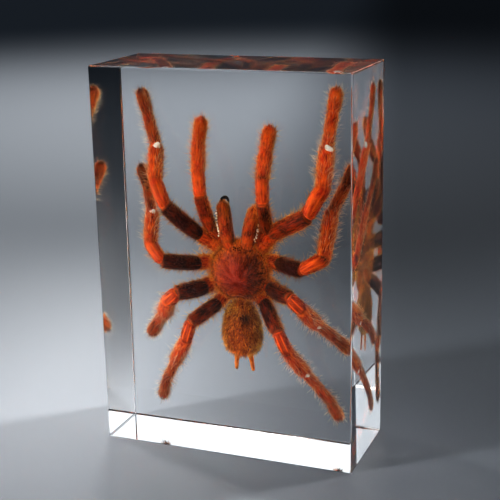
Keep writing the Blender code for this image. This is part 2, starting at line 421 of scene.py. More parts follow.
@dataclass(frozen=True)
class BristleFinish:
    """Hairs that are dark where they grow and pale at the tip, with painted rim light at a surface's flanks.
    """

    name: str
    root: Colour = (0.36, 0.02, 0.003, 1.0)
    tip: Colour = (0.80, 0.12, 0.008, 1.0)
    # side is painted rim light: the gold of the hairs at a surface's flanks.
    side: Colour = (1.0, 0.60, 0.10, 1.0)
    silver: Colour = (0.98, 0.86, 0.60, 1.0)
    dusk: Colour = (0.035, 0.006, 0.003, 1.0)
    silver_share: float = 0.35
    clump: float = 0.3
    clumps_per_metre: float = 350.0
    roughness: float = 0.42

    def make(self, groups: PatternGroups) -> bpy.types.Material:
        """Builds the material.

        Args:
            groups: The shared patterns.

        Returns:
            The material.
        """
        sheet, shader, made = start_material(self.name)
        place = sheet.add("ShaderNodeTexCoord").outputs["Object"]
        tuft = groups.patches(sheet, place, self.clumps_per_metre)
        # side makes these hairs silver and gold at a surface's flanks: painted rim light.
        tint, side = attribute(sheet, "tint"), attribute(sheet, "side")
        flank = sheet.span(side, 0.1, 0.8, 0.15, 1.0)
        silver = sheet.product(tint, tuft, self.silver_share * 2, flank)
        silver = sheet.maths("ADD", silver, attribute(sheet, "pallor"))
        silver = sheet.maths("MULTIPLY", silver, attribute(sheet, "frost"), clamp=True)
        gold = sheet.maths("ADD", sheet.product(tint, 0.5), -0.25)
        gold = sheet.maths("ADD", gold, side, clamp=True)
        end = sheet.blend(silver, sheet.blend(gold, self.tip, self.side), self.silver)
        hollow = sheet.span(tuft, 0.0, 1.0, 1 - self.clump, 1.0)
        rise = sheet.product(sheet.span(attribute(sheet, "tip"), 0.0, 0.7), hollow)
        colour = sheet.blend(rise, self.root, end)
        # dusk darkens the bristles, partly as their own dark colour and partly as painted shade. The
        # darkening is lifted at the flanks, which keep their painted rim light.
        shade = sheet.maths("ADD", sheet.product(side, -0.35), attribute(sheet, "dusk"))
        shade = sheet.span(shade, 0.35, 0.8, 0.0, 0.85)
        sheet.feed(shader.inputs["Base Color"], sheet.blend(shade, colour, self.dusk))
        rough = sheet.span(tint, 0.0, 1.0, self.roughness, self.roughness + 0.2)
        sheet.feed(shader.inputs["Roughness"], rough)
        shader.inputs["Specular IOR Level"].default_value = 0.2
        return made


@dataclass(frozen=True)
class GlossFinish:
    """A smooth hard finish, for the fangs, claws, eyes and joint pads."""

    name: str
    base: Colour
    fleck: Colour
    roughness: float = 0.18
    coat: float = 0.3
    flecks_per_metre: float = 900.0

    def make(self, groups: PatternGroups) -> bpy.types.Material:
        """Builds the material.

        Args:
            groups: The shared patterns.

        Returns:
            The material.
        """
        sheet, shader, made = start_material(self.name)
        place = sheet.add("ShaderNodeTexCoord").outputs["Object"]
        mottle = groups.patches(sheet, place, self.flecks_per_metre)
        sheet.feed(shader.inputs["Base Color"], sheet.blend(mottle, self.base, self.fleck))
        rough = sheet.span(mottle, 0.0, 1.0, self.roughness, self.roughness + 0.12)
        sheet.feed(shader.inputs["Roughness"], rough)
        shader.inputs["Coat Weight"].default_value = self.coat
        return made


@dataclass(frozen=True)
class ResinFinish:
    """Clear casting resin, polished, with the faint unevenness of hand polishing."""

    name: str = "clear_resin"
    ior: float = 1.5
    tint: Colour = (0.80, 0.90, 1.0, 1.0)
    density: float = 2.5
    smears_per_metre: float = 90.0
    smear: float = 0.012
    waves_per_metre: float = 28.0
    wave_height: float = 0.00008

    def make(self, groups: PatternGroups) -> bpy.types.Material:
        """Builds the material.

        Args:
            groups: The shared patterns.

        Returns:
            The material.
        """
        sheet, shader, made = start_material(self.name)
        place = sheet.add("ShaderNodeTexCoord").outputs["Object"]
        smear = groups.patches(sheet, place, self.smears_per_metre)
        sheet.feed(shader.inputs["Roughness"], sheet.span(smear, 0.0, 1.0, 0.0, self.smear))
        wave_inputs = {"Vector": place, "Scale": self.waves_per_metre, "Detail": 1.0}
        wave = sheet.add("ShaderNodeTexNoise", wave_inputs).outputs[0]
        bump_inputs = {"Height": wave, "Distance": self.wave_height, "Strength": 1.0}
        bump = sheet.add("ShaderNodeBump", bump_inputs)
        sheet.feed(shader.inputs["Normal"], bump.outputs[0])
        shader.inputs["Base Color"].default_value = (1.0, 1.0, 1.0, 1.0)
        shader.inputs["Transmission Weight"].default_value = 1.0
        shader.inputs["IOR"].default_value = self.ior
        absorb = sheet.add("ShaderNodeVolumeAbsorption", {"Color": self.tint, "Density": self.density})
        output = made.node_tree.nodes["Material Output"]
        sheet.feed(output.inputs["Volume"], absorb.outputs[0])
        return made


# Mesh building


def placed(name: str, data: bpy.types.ID) -> bpy.types.Object:
    """Puts an object in the scene.

    Args:
        name: The object's name.
        data: Its mesh, light or camera.

    Returns:
        The object.
    """
    made = bpy.data.objects.new(name, data)
    bpy.context.scene.collection.objects.link(made)
    return made


def plain_copy(name: str, shape: bmesh.types.BMesh) -> bpy.types.Mesh:
    """Writes a shape to a mesh and frees the shape.

    Args:
        name: The mesh's name.
        shape: The shape.

    Returns:
        The mesh.
    """
    mesh = bpy.data.meshes.new(name)
    shape.to_mesh(mesh)
    shape.free()
    return mesh


def plain_mesh(rough: bpy.types.Object) -> bpy.types.Mesh:
    """Makes an object's modifiers plain and removes the object.

    Args:
        rough: The object with its modifiers.

    Returns:
        The mesh that they give.
    """
    bpy.context.view_layer.update()
    graph = bpy.context.evaluated_depsgraph_get()
    mesh = bpy.data.meshes.new_from_object(rough.evaluated_get(graph))
    bpy.data.objects.remove(rough)
    return mesh


def unit(way: np.ndarray) -> np.ndarray:
    """A direction of length 1.

    Args:
        way: The direction.

    Returns:
        It, made 1 long.
    """
    return way / np.linalg.norm(way)


def hump(at: np.ndarray, middle: float, width: float) -> np.ndarray:
    """The height of a smooth hump that is 1 high.

    Args:
        at: Where the height is wanted.
        middle: Where the hump's top lies.
        width: How far from its top it has sunk to about a third.

    Returns:
        The height at each place.
    """
    return np.exp(-(((at - middle) / width) ** 2))


def smooth_between(shares: Sequence[float], values: Sequence, at: np.ndarray) -> np.ndarray:
    """Values on a smooth line through given ones, which never swings past them.

    Args:
        shares: Where the given values stand, rising.
        values: The given values, or rows of them.
        at: Where values are wanted.

    Returns:
        One value or row for each place in at.
    """
    x = np.asarray(shares, float)
    y = np.asarray(values, float).reshape(len(x), -1)
    step = np.diff(x)[:, None]
    slope = np.diff(y, axis=0) / step
    tangent = np.zeros_like(y)
    tangent[0], tangent[-1] = slope[0], slope[-1]
    same_way = slope[:-1] * slope[1:] > 0
    mean = 2 * slope[:-1] * slope[1:] / np.where(same_way, slope[:-1] + slope[1:], 1)
    tangent[1:-1] = np.where(same_way, mean, 0)
    spot = np.clip(np.searchsorted(x, at, side="right") - 1, 0, len(x) - 2)
    t = ((at - x[spot]) / step[spot, 0])[:, None]
    rise = step[spot]
    made = (2 * t**3 - 3 * t**2 + 1) * y[spot] + (t**3 - 2 * t**2 + t) * rise * tangent[spot]
    made += (3 * t**2 - 2 * t**3) * y[spot + 1] + (t**3 - t**2) * rise * tangent[spot + 1]
    return made if np.asarray(values).ndim > 1 else made[:, 0]


@dataclass
class Surface:
    """One closed surface in millimetres, with what its finish and bristles read at each point."""

    points: np.ndarray
    faces: list[tuple[int, ...]]
    corners: list[tuple[float, float]]
    along: np.ndarray
    height: np.ndarray
    flow: np.ndarray
    marks: dict[str, np.ndarray] = field(default_factory=dict)


@dataclass(frozen=True)
class Section:
    """A place on the middle line of a round form, with its half width and half height there."""

    share: float
    place: Triple
    across: float
    tall: float


@dataclass(frozen=True)
class RoundForm:
    """A closed round form along a line, with rounded ends."""

    sections: tuple[Section, ...]
    sides: int = 24
    rings: int = 20
    caps_mm: tuple[float, float] = (1.0, 1.0)

    def surface(self) -> Surface:
        """Builds the form's surface.

        Returns:
            The surface, whose height runs from -1 underneath to 1 on top.
        """
        share = 0.5 - 0.5 * np.cos(np.linspace(0, math.pi, self.rings + 2))
        stops = [s.share for s in self.sections]
        centre = smooth_between(stops, [s.place for s in self.sections], share)
        across = smooth_between(stops, [s.across for s in self.sections], share)
        tall = smooth_between(stops, [s.tall for s in self.sections], share)
        reach = np.concatenate([[0], np.cumsum(np.linalg.norm(np.diff(centre, axis=0), axis=1))])
        ends = ((reach, self.caps_mm[0]), (reach[-1] - reach, self.caps_mm[1]))
        for distance, cap in ends:
            rounding = np.sqrt(np.clip(1 - (1 - np.minimum(distance / cap, 1)) ** 2, 0, 1))
            across, tall = across * rounding, tall * rounding
        heading = np.gradient(centre, axis=0)
        heading /= np.linalg.norm(heading, axis=1)[:, None]
        up = UPWARD - heading * (heading @ UPWARD)[:, None]
        up /= np.linalg.norm(up, axis=1)[:, None]
        side = np.cross(heading, up)
        return self._skin(centre, across, tall, heading, up, side, reach)

    def _skin(
        self,
        centre: np.ndarray,
        across: np.ndarray,
        tall: np.ndarray,
        heading: np.ndarray,
        up: np.ndarray,
        side: np.ndarray,
        reach: np.ndarray,
    ) -> Surface:
        """Joins the rings into one closed surface.

        Args:
            centre: The rings' middles.
            across: Their half widths.
            tall: Their half heights.
            heading: Which way the form runs at each ring.
            up: Which way its top faces there.
            side: Which way its side faces there.
            reach: How far along the form each ring lies, in millimetres.

        Returns:
            The surface.
        """
        angle = -math.pi / 2 + np.arange(self.sides) * 2 * math.pi / self.sides
        inner = slice(1, -1)
        wide = side[inner, None] * (np.cos(angle) * across[inner, None])[:, :, None]
        high = up[inner, None] * (np.sin(angle) * tall[inner, None])[:, :, None]
        rings = (centre[inner, None] + wide + high).reshape(-1, 3)
        points = np.vstack([rings, centre[:1], centre[-1:]])
        faces, corners = [], []
        first, last = len(rings), len(rings) + 1
        width, length = 1 / self.sides, reach[inner]
        for k in range(self.sides):
            other = (k + 1) % self.sides
            left, middle, right = k * width, (k + 0.5) * width, (k + 1) * width
            faces.append((first, k, other))
            corners += [(middle, 0), (left, length[0]), (right, length[0])]
            for i in range(self.rings - 1):
                here, there = i * self.sides, (i + 1) * self.sides
                faces.append((here + k, there + k, there + other, here + other))
                low, top = length[i], length[i + 1]
                corners += [(left, low), (left, top), (right, top), (right, low)]
            end = (self.rings - 1) * self.sides
            faces.append((last, end + other, end + k))
            corners += [(middle, reach[-1]), (right, length[-1]), (left, length[-1])]
        along = np.concatenate([np.repeat(length / reach[-1], self.sides), [0, 1]])
        height = np.concatenate([np.tile(np.sin(angle), self.rings), [0, 0]])
        flow = np.vstack([np.repeat(heading[inner], self.sides, axis=0), heading[:1], heading[-1:]])
        return Surface(points, faces, corners, along, height, flow)


# What a skin says at each of its points, for its finish and its bristles
# side makes hide and bristles gold at the flanks as painted rim light. dusk darkens them, partly as the
# spider's own dark colour and partly as painted shade.
MARKS = ("gilt", "dusk", "pale", "stripe", "bare", "side", "coat", "reach", "frost")


def skin_object(name: str, surfaces: Sequence[Surface], finish: bpy.types.Material) -> bpy.types.Object:
    """Makes one object of several surfaces.

    Args:
        name: The object's name.
        surfaces: The surfaces to put in it.
        finish: Its material.

    Returns:
        The object, in the scene.
    """
    mesh = bpy.data.meshes.new(name)
    points = np.vstack([s.points for s in surfaces]) * MM
    faces, start = [], 0
    for surface in surfaces:
        faces += [tuple(i + start for i in face) for face in surface.faces]
        start += len(surface.points)
    mesh.from_pydata(points.tolist(), [], faces)
    uv = mesh.uv_layers.new(name="limb_map")
    uv.data.foreach_set("uv", np.array([c for s in surfaces for c in s.corners], np.float32).ravel())
    for mark in MARKS:
        values = [s.marks.get(mark, np.zeros(len(s.points))) for s in surfaces]
        layer = mesh.attributes.new(mark, "FLOAT", "POINT")
        layer.data.foreach_set("value", np.concatenate(values).astype(np.float32))
    layer = mesh.attributes.new("flow", "FLOAT_VECTOR", "POINT")
    layer.data.foreach_set("vector", np.vstack([s.flow for s in surfaces]).astype(np.float32).ravel())
    mesh.polygons.foreach_set("use_smooth", [True] * len(mesh.polygons))
    mesh.materials.append(finish)
    return placed(name, mesh)


@dataclass(frozen=True)
class Coat:
    """How a coat of bristles grows on a surface. Lengths are in millimetres."""

    per_square_mm: float
    length: float
    thickness: float = 0.035
    lean: float = 1.0
    spread: float = 0.35
    bend: float = 0.25
    pallor: float = 0.0
    seed: int = 1


class BristleGrower:
    """Grows bristles on a surface with Geometry Nodes and turns them into a plain mesh.

    It keeps them margin_mm inside the frame's box. Their lengths vary from the share shortest to
    the share longest, and each further coat's seed is seed_step higher.
    """

    margin_mm: float = 0.8
    shortest: float = 0.55
    longest: float = 1.15
    seed_step: int = 31

    def __init__(self) -> None:
        """Builds the tree that every coat shares."""
        self.tree = bpy.data.node_groups.new("bristle_coat", "GeometryNodeTree")
        self.tree.is_modifier = True
        self.sheet = NodeSheet(self.tree)
        self.sockets: dict[str, str] = {}
        self._interface()
        self._nodes()

    def _interface(self) -> None:
        """Names the tree's inputs and its output."""
        numbers = ("Per Square Metre", "Length", "Thickness", "Lean", "Spread", "Bend", "Pallor")
        kinds = {
            "Geometry": "NodeSocketGeometry",
            **dict.fromkeys(numbers, "NodeSocketFloat"),
            "Lowest Corner": "NodeSocketVector",
            "Highest Corner": "NodeSocketVector",
            "Seed": "NodeSocketInt",
            "Finish": "NodeSocketMaterial",
        }
        for name, kind in kinds.items():
            socket = self.tree.interface.new_socket(name=name, in_out="INPUT", socket_type=kind)
            self.sockets[name] = socket.identifier
        self.tree.interface.new_socket(name="Geometry", in_out="OUTPUT", socket_type="NodeSocketGeometry")
        self.entry = self.sheet.add("NodeGroupInput")

    def _named(self, name: str, data_type: str) -> object:
        """A value that the surface holds under a name.

        Args:
            name: The attribute's name.
            data_type: Its kind.

        Returns:
            The output socket.
        """
        node = self.sheet.add("GeometryNodeInputNamedAttribute", {"Name": name}, data_type=data_type)
        return node.outputs["Attribute"]

    def _bristle(self) -> object:
        """One bristle of length 1: a three-sided spike that bends towards its tip.

        Returns:
            The geometry's output socket.
        """
        sheet, entry = self.sheet, self.entry.outputs
        girth = sheet.maths("DIVIDE", entry["Thickness"], entry["Length"])
        cone = {"Vertices": 3, "Side Segments": 2, "Radius Top": 0.0, "Radius Bottom": girth, "Depth": 1.0}
        spike = sheet.add("GeometryNodeMeshCone", cone, fill_type="NGON").outputs["Mesh"]
        place = sheet.add("GeometryNodeInputPosition").outputs[0]
        rise = sheet.add("ShaderNodeSeparateXYZ", {0: place}).outputs["Z"]
        offset = sheet.add("ShaderNodeCombineXYZ", {0: sheet.product(rise, rise, entry["Bend"])})
        shift = {"Geometry": self._stored(spike, "tip", rise, "POINT"), "Offset": offset.outputs[0]}
        return sheet.add("GeometryNodeSetPosition", shift).outputs[0]

    def _stored(self, geometry: object, name: str, value: object, domain: str) -> object:
        """Stores a number on a geometry.

        Args:
            geometry: The geometry's socket.
            name: The attribute's name.
            value: The number's socket.
            domain: What holds it: each point, or each instance.

        Returns:
            The new geometry's socket.
        """
        inputs = {"Geometry": geometry, "Name": name, "Value": value}
        kind = "GeometryNodeStoreNamedAttribute"
        return self.sheet.add(kind, inputs, data_type="FLOAT", domain=domain).outputs[0]

    def _random(self, kind: str, inputs: dict) -> bpy.types.Node:
        """A random value for each bristle.

        Args:
            kind: Its data type.
            inputs: The lowest, the highest and the seed, by input name or number.

        Returns:
            The node.
        """
        return self.sheet.add("FunctionNodeRandomValue", inputs, data_type=kind)

    def _nodes(self) -> None:
        """Scatters, turns and sizes the bristles, then makes them one mesh."""
        sheet, entry = self.sheet, self.entry.outputs
        seed = entry["Seed"]
        density = sheet.product(entry["Per Square Metre"], self._named("coat", "FLOAT"))
        scatter = sheet.add(
            "GeometryNodeDistributePointsOnFaces",
            {"Mesh": entry["Geometry"], "Density": density, "Seed": seed},
            distribute_method="RANDOM",
        ).outputs
        flow = self._named("flow", "FLOAT_VECTOR")
        lean = sheet.vector("SCALE", flow, entry["Lean"])
        stray = self._random("FLOAT_VECTOR", {0: (-1.0, -1.0, -1.0), 1: (1.0, 1.0, 1.0), "Seed": seed})
        stray_way = sheet.vector("SCALE", stray.outputs[0], entry["Spread"])
        way = sheet.vector("ADD", sheet.vector("ADD", scatter["Normal"], lean), stray_way)
        stood = sheet.add("FunctionNodeAlignRotationToVector", {"Vector": way}, axis="Z").outputs[0]
        turn = {"Rotation": stood, "Vector": flow}
        turned = sheet.add("FunctionNodeAlignRotationToVector", turn, axis="X", pivot_axis="Z").outputs[0]
        vary = self._random("FLOAT", {2: self.shortest, 3: self.longest, "Seed": seed})
        size = sheet.product(vary.outputs[1], entry["Length"], self._named("reach", "FLOAT"))
        place = {
            "Points": scatter["Points"],
            "Instance": self._bristle(),
            "Rotation": turned,
            "Scale": size,
        }
        made = sheet.add("GeometryNodeInstanceOnPoints", place).outputs[0]
        made = self._stored(made, "tint", self._random("FLOAT", {}).outputs[1], "INSTANCE")
        made = self._stored(made, "pallor", entry["Pallor"], "INSTANCE")
        made = sheet.add("GeometryNodeRealizeInstances", {"Geometry": made}).outputs[0]
        kept = sheet.add("GeometryNodeInputPosition").outputs[0]
        kept = sheet.vector("MAXIMUM", kept, entry["Lowest Corner"])
        kept = sheet.vector("MINIMUM", kept, entry["Highest Corner"])
        made = sheet.add("GeometryNodeSetPosition", {"Geometry": made, "Position": kept}).outputs[0]
        finished = {"Geometry": made, "Material": entry["Finish"]}
        made = sheet.add("GeometryNodeSetMaterial", finished).outputs[0]
        sheet.add("NodeGroupOutput", {"Geometry": made})

    def grow(
        self, name: str, skin: bpy.types.Object, coats: Sequence[Coat], finish: bpy.types.Material
    ) -> bpy.types.Object:
        """Grows coats on a surface.

        Args:
            name: The new object's name.
            skin: The surface that they grow on.
            coats: How each coat grows.
            finish: The bristles' material.

        Returns:
            One object that holds every coat as a plain mesh.
        """
        merged = bmesh.new()
        for number, coat in enumerate(coats):
            ground = placed(f"{name}_field", skin.data)
            modifier = ground.modifiers.new("bristles", "NODES")
            modifier.node_group = self.tree
            values = {
                "Per Square Metre": coat.per_square_mm / MM**2,
                "Length": coat.length * MM,
                "Thickness": coat.thickness * MM,
                "Lean": coat.lean,
                "Spread": coat.spread,
                "Bend": coat.bend,
                "Pallor": coat.pallor,
                "Lowest Corner": [c + self.margin_mm * MM for c in CAD_BOX[0]],
                "Highest Corner": [c - self.margin_mm * MM for c in CAD_BOX[1]],
                "Seed": coat.seed + number * self.seed_step,
                "Finish": finish,
            }
            for label, value in values.items():
                modifier[self.sockets[label]] = value
            mesh = plain_mesh(ground)
            merged.from_mesh(mesh)
            bpy.data.meshes.remove(mesh)
        mesh = plain_copy(name, merged)
        mesh.polygons.foreach_set("use_smooth", [True] * len(mesh.polygons))
        mesh.materials.append(finish)
        return placed(name, mesh)


def belongs(
    piece: bpy.types.Object, nodes: Sequence[str] = (SPIDER_NODE,)
) -> None:
    """Ties a finished piece to the frame and reports it.

    Args:
        piece: The piece.
        nodes: The frame's nodes that it stands for.
    """
    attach(piece, ROOT_BODY)
    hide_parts(*nodes)
    piece.data.calc_loop_triangles()
    LOG.info("%s: %d triangles", piece.name, len(piece.data.loop_triangles))


def dress(
    skin: bpy.types.Object, grower: BristleGrower, coats: Sequence[Coat], bristle: bpy.types.Material
) -> None:
    """Grows a skin's bristles and ties both to the frame.

    Args:
        skin: The skin.
        grower: What grows the bristles.
        coats: How each coat grows.
        bristle: The bristles' material.
    """
    hairs = grower.grow(f"{skin.name}_bristles", skin, coats, bristle)
    belongs(skin)
    belongs(hairs)


# The spider's limbs


@dataclass(frozen=True)
class ArticleForm:
    """The form and dress of one article of a limb. The radius is in millimetres."""

    radius: float
    shape: tuple[tuple[float, float], ...]
    bow: float = 0.0
    dusk: float = 0.0
    gilt: float = 0.6
    bare: float = 0.0
    coat: float = 1.0
    reach: float = 1.0
    ring: float = 0.0


# A joint pad's lumps: share of its radius, place across it and place along it
PAD_LUMPS = ((0.95, 0.0, 0.0), (0.64, 0.55, 0.3), (0.58, -0.55, 0.32), (0.52, 0.1, -0.7))
# An article's form: how far along it, and how thick there as a share of its radius
ROOT_SHAPE = ((0.0, 0.9), (0.5, 1.04), (1.0, 0.92))
LEG_FORMS = {
    Article.COXA: ArticleForm(2.15, ROOT_SHAPE, dusk=0.3, gilt=0.8, coat=1.5, reach=1.4),
    Article.TROCHANTER: ArticleForm(2.05, ROOT_SHAPE, dusk=0.35, gilt=0.7, coat=1.3, reach=1.3),
    Article.FEMUR: ArticleForm(
        2.3, ((0.0, 0.8), (0.25, 1.0), (0.7, 1.02), (1.0, 0.9)), bow=0.07, dusk=0.87, gilt=0.25, coat=0.9
    ),
    Article.PATELLA: ArticleForm(
        2.15, ((0.0, 0.9), (0.3, 0.98), (0.7, 1.02), (1.0, 0.93)),
        bow=0.05, dusk=0.1, bare=0.5, coat=0.7, ring=1.0,
    ),
    Article.TIBIA: ArticleForm(
        2.12, ((0.0, 0.9), (0.25, 1.0), (0.75, 1.02), (1.0, 0.82)),
        bow=0.02, dusk=0.2, gilt=0.75, reach=1.15, ring=0.4,
    ),
    Article.METATARSUS: ArticleForm(
        1.5, ((0.0, 0.98), (0.2, 1.0), (0.8, 1.02), (1.0, 0.96)), dusk=0.34, coat=1.3, reach=1.1, ring=0.3
    ),
    Article.TARSUS: ArticleForm(
        1.6, ((0.0, 0.88), (0.4, 1.04), (0.8, 1.1), (1.0, 1.0)), dusk=0.42, gilt=0.7, coat=1.9, reach=1.0
    ),
}
PALP_FORMS = {
    Article.COXA: ArticleForm(1.8, ROOT_SHAPE, dusk=0.35, reach=1.2),
    Article.TROCHANTER: ArticleForm(1.7, ROOT_SHAPE, dusk=0.4, reach=1.1),
    Article.FEMUR: ArticleForm(
        1.85, ((0.0, 0.85), (0.3, 1.0), (0.7, 1.02), (1.0, 0.95)), bow=0.05, dusk=0.6, gilt=0.3, coat=0.8
    ),
    Article.PATELLA: ArticleForm(
        1.8, ((0.0, 0.92), (0.3, 0.98), (0.7, 1.02), (1.0, 0.96)), bare=0.4, coat=0.8, ring=1.0
    ),
    Article.TIBIA: ArticleForm(
        1.82, ((0.0, 0.94), (0.3, 1.0), (0.75, 1.02), (1.0, 0.92)), dusk=0.15, coat=1.2, reach=1.1, ring=0.4
    ),
    Article.TARSUS: ArticleForm(
        1.65, ((0.0, 0.9), (0.4, 1.05), (0.8, 1.06), (1.0, 0.94)), gilt=0.85, coat=1.9, ring=0.4
    ),
}
# Articles that run smoothly into one another share one surface
RUNS = (
    (Article.COXA,),
    (Article.TROCHANTER,),
    (Article.FEMUR,),
    (Article.PATELLA, Article.TIBIA),
    (Article.METATARSUS,),
    (Article.TARSUS,),
)
LIMB_SIDES = 24
RINGS_PER_MM = 1.9
FEWEST_RINGS = 12
START_CAP, END_CAP = 0.7, 0.45  # how long an article's rounded ends are, as shares of its radius
LAP = 0.3  # how far an article reaches into its neighbour, as a share of its radius
FLATNESS = (0.97, 1.03)  # half width and half height of an article, as shares of its radius
PAD_PLACE_MM = (1.3, 1.72, 0.7)  # how far a joint pad lies before the joint, above it and to the right
CLAW_ROOT_MM = 0.4  # how far a claw's root lies ahead of the limb's tip, and beside it
# A claw: share along it, how far ahead of its root and above it, and its radius, in millimetres
CLAW = ((0.0, 0.0, 0.0, 0.14), (0.6, 0.6, 0.1, 0.1), (1.0, 1.0, -0.25, 0.03))
SEAM_WIDTH = 0.05  # the dark seam at an article's ends, as a share of its length
RING = (0.05, 0.02)  # the pale ring near an article's start: its place and width, as shares
KNEE_RING = (0.975, 0.012)  # the same at the end of a femur


@dataclass
class Limb:
    """One leg or palp: where its articles meet, from the breastplate to the claw, and how it is dressed."""

    name: str
    joints: tuple[Triple, ...]
    forms: dict[Article, ArticleForm]
    thickness: float = 1.0
    dusk_side: float = 0.0
    stripes: float = 0.3
    shin_dusk: float = 0.0
    frost: float = 1.0
    pad_radius: float = 0.0
    silvery: bool = False
    seed: int = 1

    def surfaces(self) -> list[Surface]:
        """Builds the limb's articles, some of them running smoothly into the next.

        Returns:
            One surface for each run of articles.
        """
        spans = dict(zip(self.forms, zip(self.joints, self.joints[1:])))
        runs = ([article for article in run if article in spans] for run in RUNS)
        return [self._run(run, spans) for run in runs if run]

    def _run(self, articles: Sequence[Article], spans: dict[Article, tuple[Triple, Triple]]) -> Surface:
        """Builds one run of articles with its marks.

        Args:
            articles: The articles in it, from the body outwards.
            spans: Where each article of the limb begins and ends.

        Returns:
            Its surface.
        """
        lengths = [math.dist(*spans[article]) for article in articles]
        sections, reach = [], 0.0
        for article, length in zip(articles, lengths):
            form = self.forms[article]
            start, end = (np.array(place) for place in spans[article])
            heading = (end - start) / length
            lap = heading * LAP * form.radius
            for share, factor in form.shape:
                if share == 0.0 and article is not articles[0]:
                    continue
                lift = self._rise(heading) * form.bow * length * 4 * share * (1 - share)
                place = start + heading * share * length + lift - lap * (share == 0.0)
                if article is articles[-1]:
                    place = place + lap * (share == 1.0)
                girths = (form.radius * self.thickness * factor * flat for flat in FLATNESS)
                sections.append(Section((reach + share * length) / sum(lengths), tuple(place), *girths))
            reach += length
        first, last = self.forms[articles[0]].radius, self.forms[articles[-1]].radius
        caps = (first * START_CAP, last * (1.0 if articles[-1] is Article.TARSUS else END_CAP))
        rings = max(FEWEST_RINGS, int(reach * RINGS_PER_MM))
        surface = RoundForm(tuple(sections), LIMB_SIDES, rings, caps).surface()
        self._mark_run(surface, articles, lengths)
        return surface

    @staticmethod
    def _rise(heading: np.ndarray) -> np.ndarray:
        """Which way is up for an article.

        Args:
            heading: Which way it runs.

        Returns:
            The direction, at a right angle to it.
        """
        return unit(UPWARD - heading * (heading @ UPWARD))

    def _mark_run(self, surface: Surface, articles: Sequence[Article], lengths: Sequence[float]) -> None:
        """Writes the marks of each article in a run.

        Args:
            surface: The run's surface.
            articles: Its articles.
            lengths: Their lengths.
        """
        ends = np.cumsum([0.0, *lengths]) / sum(lengths)
        which = np.clip(np.searchsorted(ends, surface.along, side="right") - 1, 0, len(articles) - 1)
        for mark in MARKS:
            surface.marks[mark] = np.zeros(len(surface.along))
        for number, article in enumerate(articles):
            here = which == number
            local = (surface.along[here] - ends[number]) / (ends[number + 1] - ends[number])
            for mark, values in self._marks(article, local, surface.height[here]).items():
                surface.marks[mark][here] = values

    def _marks(self, article: Article, along: np.ndarray, height: np.ndarray) -> dict[str, np.ndarray]:
        """Where an article is dusky, striped, bare or bristly, with painted shade underneath and painted rim
        light at its flanks.

        Args:
            article: Which article it is.
            along: How far along it each point lies, from 0 to 1.
            height: How high on it each point lies, from -1 to 1.

        Returns:
            Values by mark.
        """
        form = self.forms[article]
        middle = np.clip(np.minimum(along - 0.08, 0.97 - along) * 8, 0, 1)
        stripes = middle * self.stripes * (form.bare > 0) * (height > 0)
        seam = hump(along, 0.0, SEAM_WIDTH) + hump(along, 1.0, SEAM_WIDTH)
        ring = 0.8 * form.ring * hump(along, *RING)
        knee = np.zeros(len(along))
        if article is Article.FEMUR:
            ring = 0.4 * hump(along, *KNEE_RING)
            knee = 0.35 * max(0.0, self.stripes - 0.3) * np.clip((along - 0.45) / 0.5, 0, 1)
        # under darkens the underside as painted shade. On the lower articles the shins' own darker colour is
        # added to it.
        under = np.clip(-height - 0.1, 0, 1) * 0.4
        frost = 0.0
        if article in (Article.TIBIA, Article.METATARSUS, Article.TARSUS):
            under = under + self.shin_dusk * (0.5 if article is Article.TIBIA else 1.0)
            frost = self.frost
        bare = np.clip(form.bare * (0.4 + 1.8 * self.stripes), 0, 1)
        thinning = 1.15 - 0.6 * np.clip(height, 0, 1)
        return {
            "pale": np.clip(ring, 0, 1),
            "stripe": np.clip(stripes, 0, 1),
            "gilt": form.gilt * (0.7 + 0.3 * height) * (1 - 0.85 * bare),
            "dusk": np.clip(form.dusk + self.dusk_side + under + 0.4 * seam - knee, 0, 1),
            "bare": np.full(len(along), bare),
            # side is 1 on the flanks and underside, where the finishes make the limb gold as painted rim
            # light.
            "side": 1 - np.clip(height, 0, 1) ** 1.5,
            "coat": form.coat * np.clip(1 - 0.9 * bare - ring, 0.1, 1) * thinning,
            "reach": form.reach * (1 - 0.45 * np.clip(-height, 0, 1)),
            "frost": np.full(len(along), frost),
        }

    def pad_place(self) -> np.ndarray:
        """Where the limb's pale joint pad lies.

        Returns:
            The place, in millimetres.
        """
        before, joint = (np.array(place) for place in self.joints[4:6])
        shin = unit(joint - before)
        back, above, right = PAD_PLACE_MM
        place = joint - shin * back + self._rise(shin) * above * self.thickness
        return place + np.array((right, 0.0, 0.0))

    def pad(self) -> list[Surface]:
        """The limb's pale joint pad: an uneven lump of four rounded ones.

        Returns:
            The lumps' surfaces.
        """
        turn = np.exp(1j * self.seed)
        lumps = []
        for share, across, up in PAD_LUMPS:
            shift = (across + 1j * up) * turn
            place = self.pad_place() + self.pad_radius * np.array((shift.real, 0.15 * share, shift.imag))
            lumps.append(round_ball(place, self.pad_radius * share, 16, 12))
        return lumps

    def claws(self) -> list[Surface]:
        """The two small claws at the limb's tip.

        Returns:
            Their surfaces.
        """
        before, tip = (np.array(place) for place in self.joints[-2:])
        heading = unit(tip - before)
        rise = self._rise(heading)
        side = np.cross(heading, rise)
        made = []
        for way in (-1, 1):
            base = tip + heading * CLAW_ROOT_MM + side * way * CLAW_ROOT_MM
            sections = tuple(
                Section(share, tuple(base + heading * ahead + rise * above), girth, girth)
                for share, ahead, above, girth in CLAW
            )
            made.append(RoundForm(sections, 8, 6, (0.1, 0.05)).surface())
        return made


